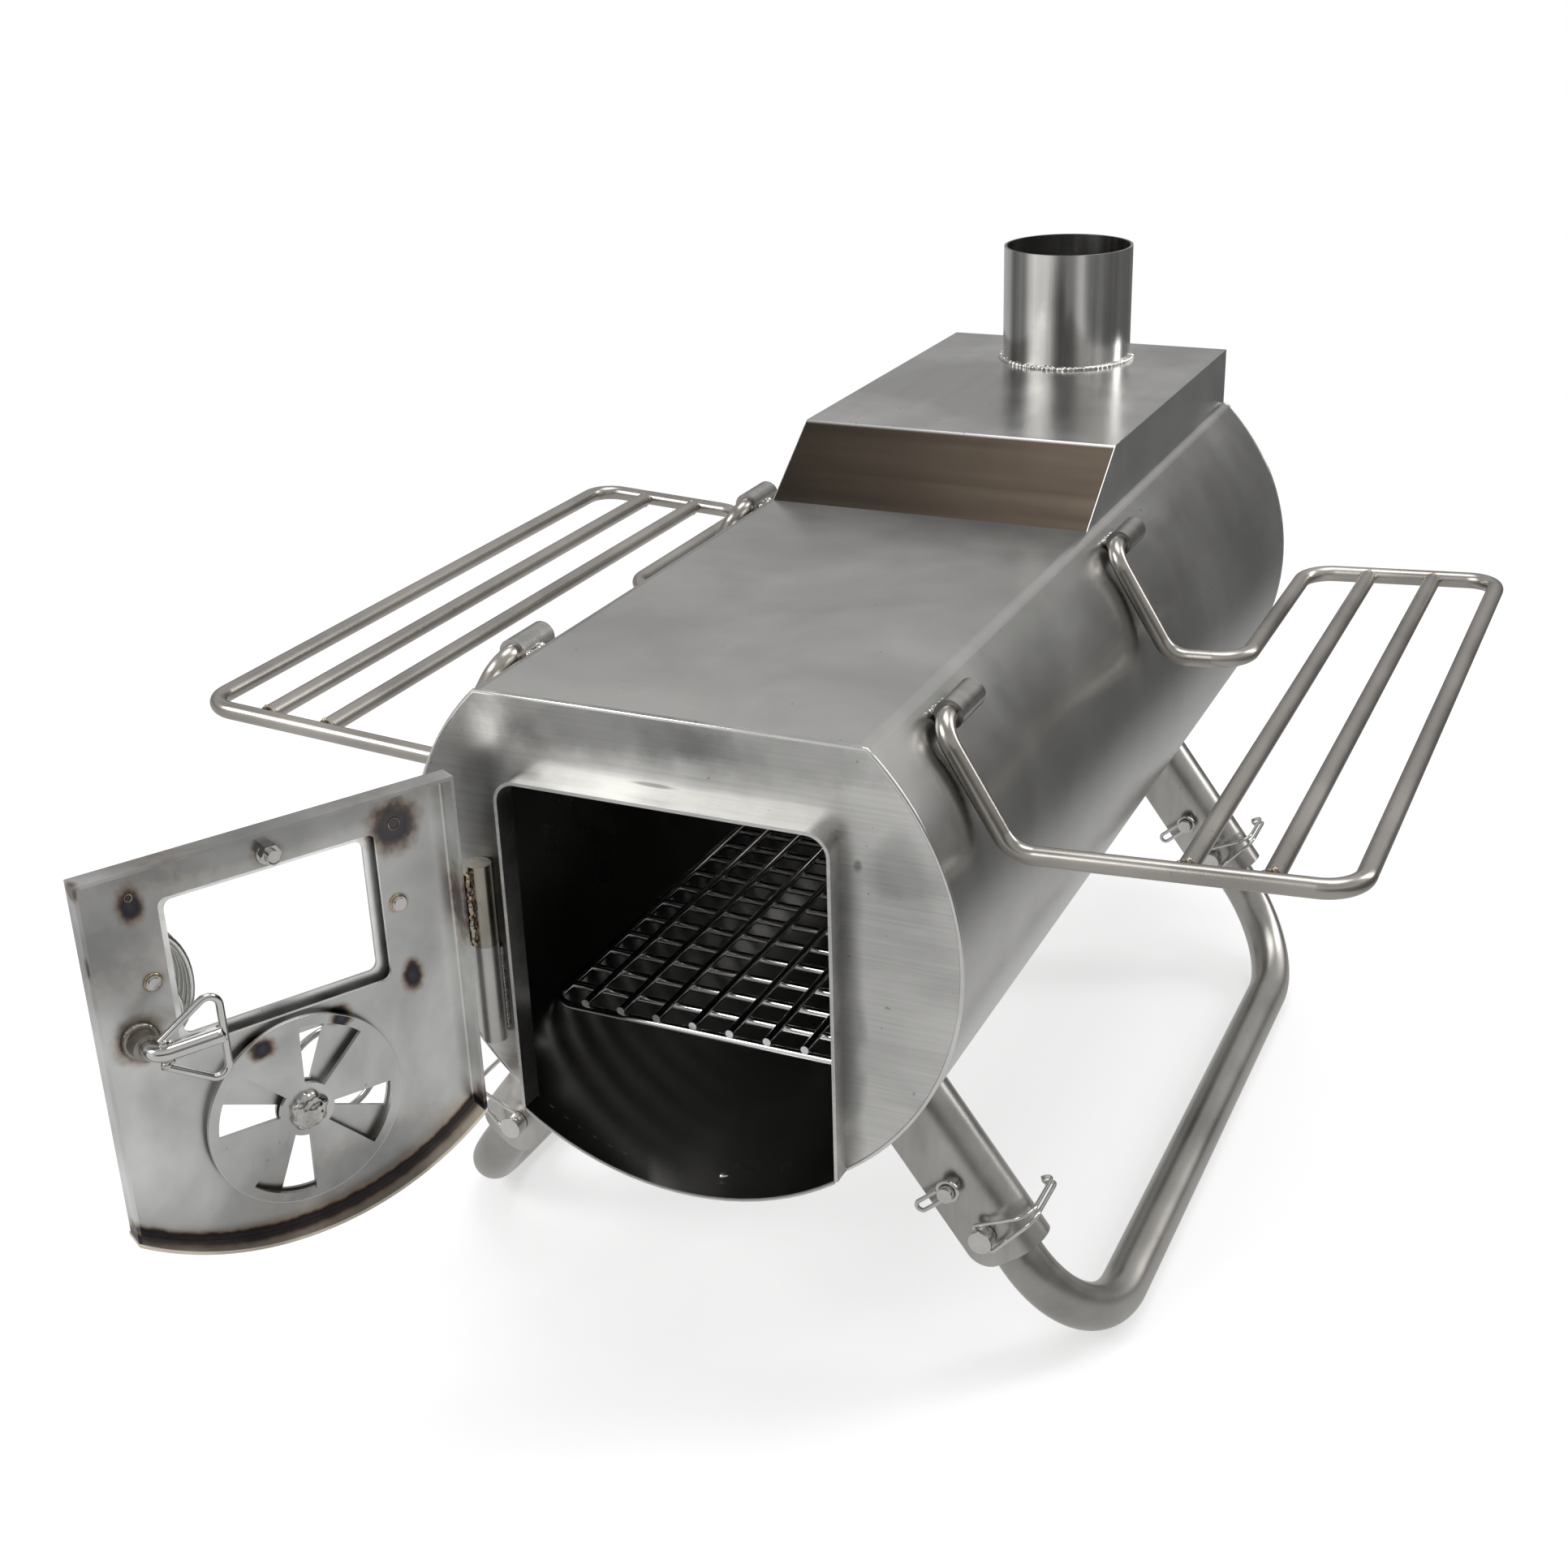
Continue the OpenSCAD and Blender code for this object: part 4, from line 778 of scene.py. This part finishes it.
def burnt_edge(n, link, place, colour):
    """The dark seam along the door's curved lower edge, measured from the barrel's axis."""
    lay = n.new("ShaderNodeMapping")
    lay.vector_type = "TEXTURE"
    lay.inputs["Location"].default_value = door_point(0, 0, 0)
    lay.inputs["Rotation"].default_value = (0, 0, -DOOR_TURN)
    lay.inputs["Scale"].default_value = (0.001, 1000, 0.001)
    far = n.new("ShaderNodeVectorMath")
    far.operation = "LENGTH"
    off_seam = n.new("ShaderNodeMapRange")
    off_seam.clamp = False
    off_seam.inputs["From Min"].default_value = 100.2
    off_seam.inputs["From Max"].default_value = 94.6
    height = n.new("ShaderNodeSeparateXYZ")
    low = n.new("ShaderNodeMath")
    low.operation = "LESS_THAN"
    low.inputs[1].default_value = -60
    spot = n.new("ShaderNodeGroup")
    spot.node_tree = bloom
    link.new(place, lay.inputs["Vector"])
    link.new(lay.outputs[0], far.inputs[0])
    link.new(far.outputs["Value"], off_seam.inputs["Value"])
    link.new(lay.outputs[0], height.inputs[0])
    link.new(height.outputs["Z"], low.inputs[0])
    link.new(place, spot.inputs["Place"])
    link.new(off_seam.outputs["Result"], spot.inputs["Spot"])
    link.new(low.outputs[0], spot.inputs["Depth"])
    link.new(colour, spot.inputs["Color"])
    return spot.outputs["Color"]


THROUGH = 1000
wears(steel("door_sheet", (0.66, 0.66, 0.645), brush=(60, 60, 60), smudges=0.75, grain=0.08, gloss=0.34,
            mark=blooms(
    ((44.6, -8.2, 32.4), (5.4, THROUGH, 8.6), 1), ((-43.3, -8.2, 32.3), (11.5, THROUGH, 12.5), 0.92),
    ((-44.1, -8.2, -23.2), (5.2, THROUGH, 7.8), 1), ((-16.0, -8.2, -27.7), (5.6, THROUGH, 4.6), 1),
    ((12.2, -8.2, -28.9), (6.2, THROUGH, 5.2), 1), ((48.8, -8.2, -13.2), (10.5, THROUGH, 10.0), 1),
    ((41.8, -8.2, 4.9), (4.2, THROUGH, 4.2), 0.75), ((-41.8, -8.2, 4.9), (4.2, THROUGH, 4.2), 0.75),
    ((0, -8.2, 36.0), (6.5, THROUGH, 5.0), 0.6), ((-62.6, -4.0, 0.0), (3.0, 7.5, 21.0), 0.9),
    ((62.4, -3.0, 45.0), (3.0, 5.0, 4.0), 0.8), ((62.6, -1.0, 20.0), (1.2, 2.0, 5.0), 0.7),
    ((62.4, -2.0, -76.0), (3.0, 6.0, 6.0), 0.9), ((-62.4, -2.0, -76.0), (3.0, 7.0, 8.0), 0.9),
    # The last three spots are broad and faint; they darken the door's upper right, its top and its bottom.
    ((56, -8.2, 34), (40, THROUGH, 34), 0.25), ((0, -8.2, 42), (75, THROUGH, 11), 0.25),
    ((-20, -8.2, -86), (50, THROUGH, 16), 0.3),
)), "door_panel", "window_retainer", "damper_disc")
wears(steel("burnt_strip", (0.90, 0.81, 0.68), brush=(60, 60, 60), smudges=0.8, grain=0.2, gloss=0.33),
      "door_bottom_strip")
wears(bright_pin, "window_bolts", "damper_hub", "damper_handle")
pane = bpy.data.materials.new("clear_pane")
pane.use_nodes = True
clear = pane.node_tree.nodes["Principled BSDF"]
clear.inputs["Base Color"].default_value = (0.995, 1, 0.998, 1)
clear.inputs["Roughness"].default_value = 0
clear.inputs["Transmission Weight"].default_value = 1
clear.inputs["IOR"].default_value = 1.08
wears(pane, "window_glass")


def rings(name, body, finish, *places):
    """Round beads: each a place on the shut door, the ring's radius and its bead's radius."""
    made = []
    for place, wide, thick in places:
        bpy.ops.mesh.primitive_torus_add(
            major_radius=wide / 1000, minor_radius=thick / 1000, major_segments=24 + int(3 * wide),
            minor_segments=8, location=door_point(*place), rotation=(math.pi / 2, 0, -DOOR_TURN))
        made.append(bpy.context.object)
    for piece in made:
        piece.select_set(True)
    bpy.ops.object.join()
    bpy.ops.object.transform_apply(location=True, rotation=True, scale=True)
    bpy.ops.object.shade_smooth()
    dress(bpy.context.object, name, body, finish)


rings("bolt_thread", "door", bright_pin, *[((0, -5.4 + 0.55 * k, 36.05), 1.95, 0.22) for k in range(6)])
rings("bolt_washer", "door", bright_pin, ((0, -7.9, 36.05), 3.0, 0.8), ((0, -6.9, 36.05), 2.5, 0.6))
DAMPER_Z = -56.5
rings("disc_edge", "damper", bright_pin, ((0, -4.95, DAMPER_Z), 33.75, 0.3))
rings("spot_ring", "door", weld_metal, ((-43.6, -8.15, 33.0), 2.0, 0.35), ((44.8, -8.15, 35.0), 1.2, 0.3))
rings("bolt_burrs", "door", steel("straw_burr", (0.60, 0.50, 0.34), gloss=0.25),
      ((41.75, -8.1, 4.85), 2.7, 0.45), ((-41.75, -8.1, 4.85), 2.7, 0.45))
blob = []
for k in range(34):
    turned, far = 2.4 * k, 5.3 * math.sqrt(k / 33)
    blob.append((door_point(far * math.cos(turned), -3.1 - 0.05 * far * far, DAMPER_Z + far * math.sin(turned)),
                 2.2 + 0.3 * math.sin(k * 1.7)))
drops("damper_weld", "damper", blob, bright_weld, flow=7)


# Latch. A polished rod through a welded boss, bent over as the catch, with a
# triangle of wire welded to it, and outside a grip wound from wire.
wears(steel("boss_steel", (0.34, 0.32, 0.29), brush=(80, 80, 80), smudges=0.6, grain=0.3, gloss=0.3),
      "latch_boss")
wears(steel("polished_rod", (0.72, 0.71, 0.69), brush=(90, 90, 90), smudges=0.2, grain=0.1, gloss=0.1),
      "latch_shaft", "latch_catch", "latch_handle")


LATCH_U = 48.8
LATCH_Z = -13.2
coil = bpy.data.curves.new("wound_grip", "CURVE")
coil.dimensions = "3D"
coil.bevel_depth = 0.0012
coil.bevel_resolution = 5
coil.use_fill_caps = True
turns, run_out, per_turn = 4, 0.75, 40
line = coil.splines.new("POLY")
line.points.add(int(per_turn * (turns + run_out)))
for k, point in enumerate(line.points):
    wound = k / per_turn
    close = max(0, 1 - wound / run_out)
    wide, high = (r + (4.05 - r) * close for r in (12.9, 20))
    angle = 2 * math.pi * wound
    point.co = (*door_point(LATCH_U - 10.4 * (1 - close) + wide * math.cos(angle), -9.4 - 8 - 3.8 * wound,
                            LATCH_Z + 7.7 * (1 - close) + high * math.sin(angle)), 1)
grip = bpy.data.objects.new("wound_grip", coil)
bpy.context.scene.collection.objects.link(grip)
bpy.ops.object.select_all(action="DESELECT")
bpy.context.view_layer.objects.active = grip
grip.select_set(True)
bpy.ops.object.convert(target="MESH")
bpy.ops.object.shade_smooth()
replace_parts(dress(bpy.context.object, "wound_grip", "latch",
                  steel("spring_wire", (0.46, 0.455, 0.44), smudges=0.2, gloss=0.16)), "latch_handle")
drops("catch_weld", "latch", [(door_point(u, y, z + LATCH_Z), radius) for u, y, z, radius in (
    (27.8, 4.4, 0, 2.1), (28.8, 5.6, 1, 1.5), (26.8, 4.6, -2, 1.4), (27.4, 4.2, 2.2, 1.5),
    (45.7, 4.8, 3.8, 1.7), (43.8, 4.6, 3.1, 1.3), (46, 4.8, -3.8, 1.7), (44, 4.6, -3.2, 1.3))],
      bright_weld)
around = []
for k in range(21):
    turned = math.radians(k * 360 / 21)
    around.append((door_point(LATCH_U + 5.0 * math.cos(turned), -7.7, LATCH_Z + 5.0 * math.sin(turned)),
                   1.2 + 0.5 * math.sin(k * 2.7) ** 2))
drops("boss_weld", "door", around, nodes["latch_boss"].data.materials[0], flow=14)


# Grate. Chromed wires welded crosswise on a bent border wire.
wears(steel("chromed_wire", (0.80, 0.80, 0.80), brush=(90, 90, 90), smudges=0.1, grain=0.05, gloss=0.10),
      "grate_border", "grate_long_wires", "grate_cross_wires")
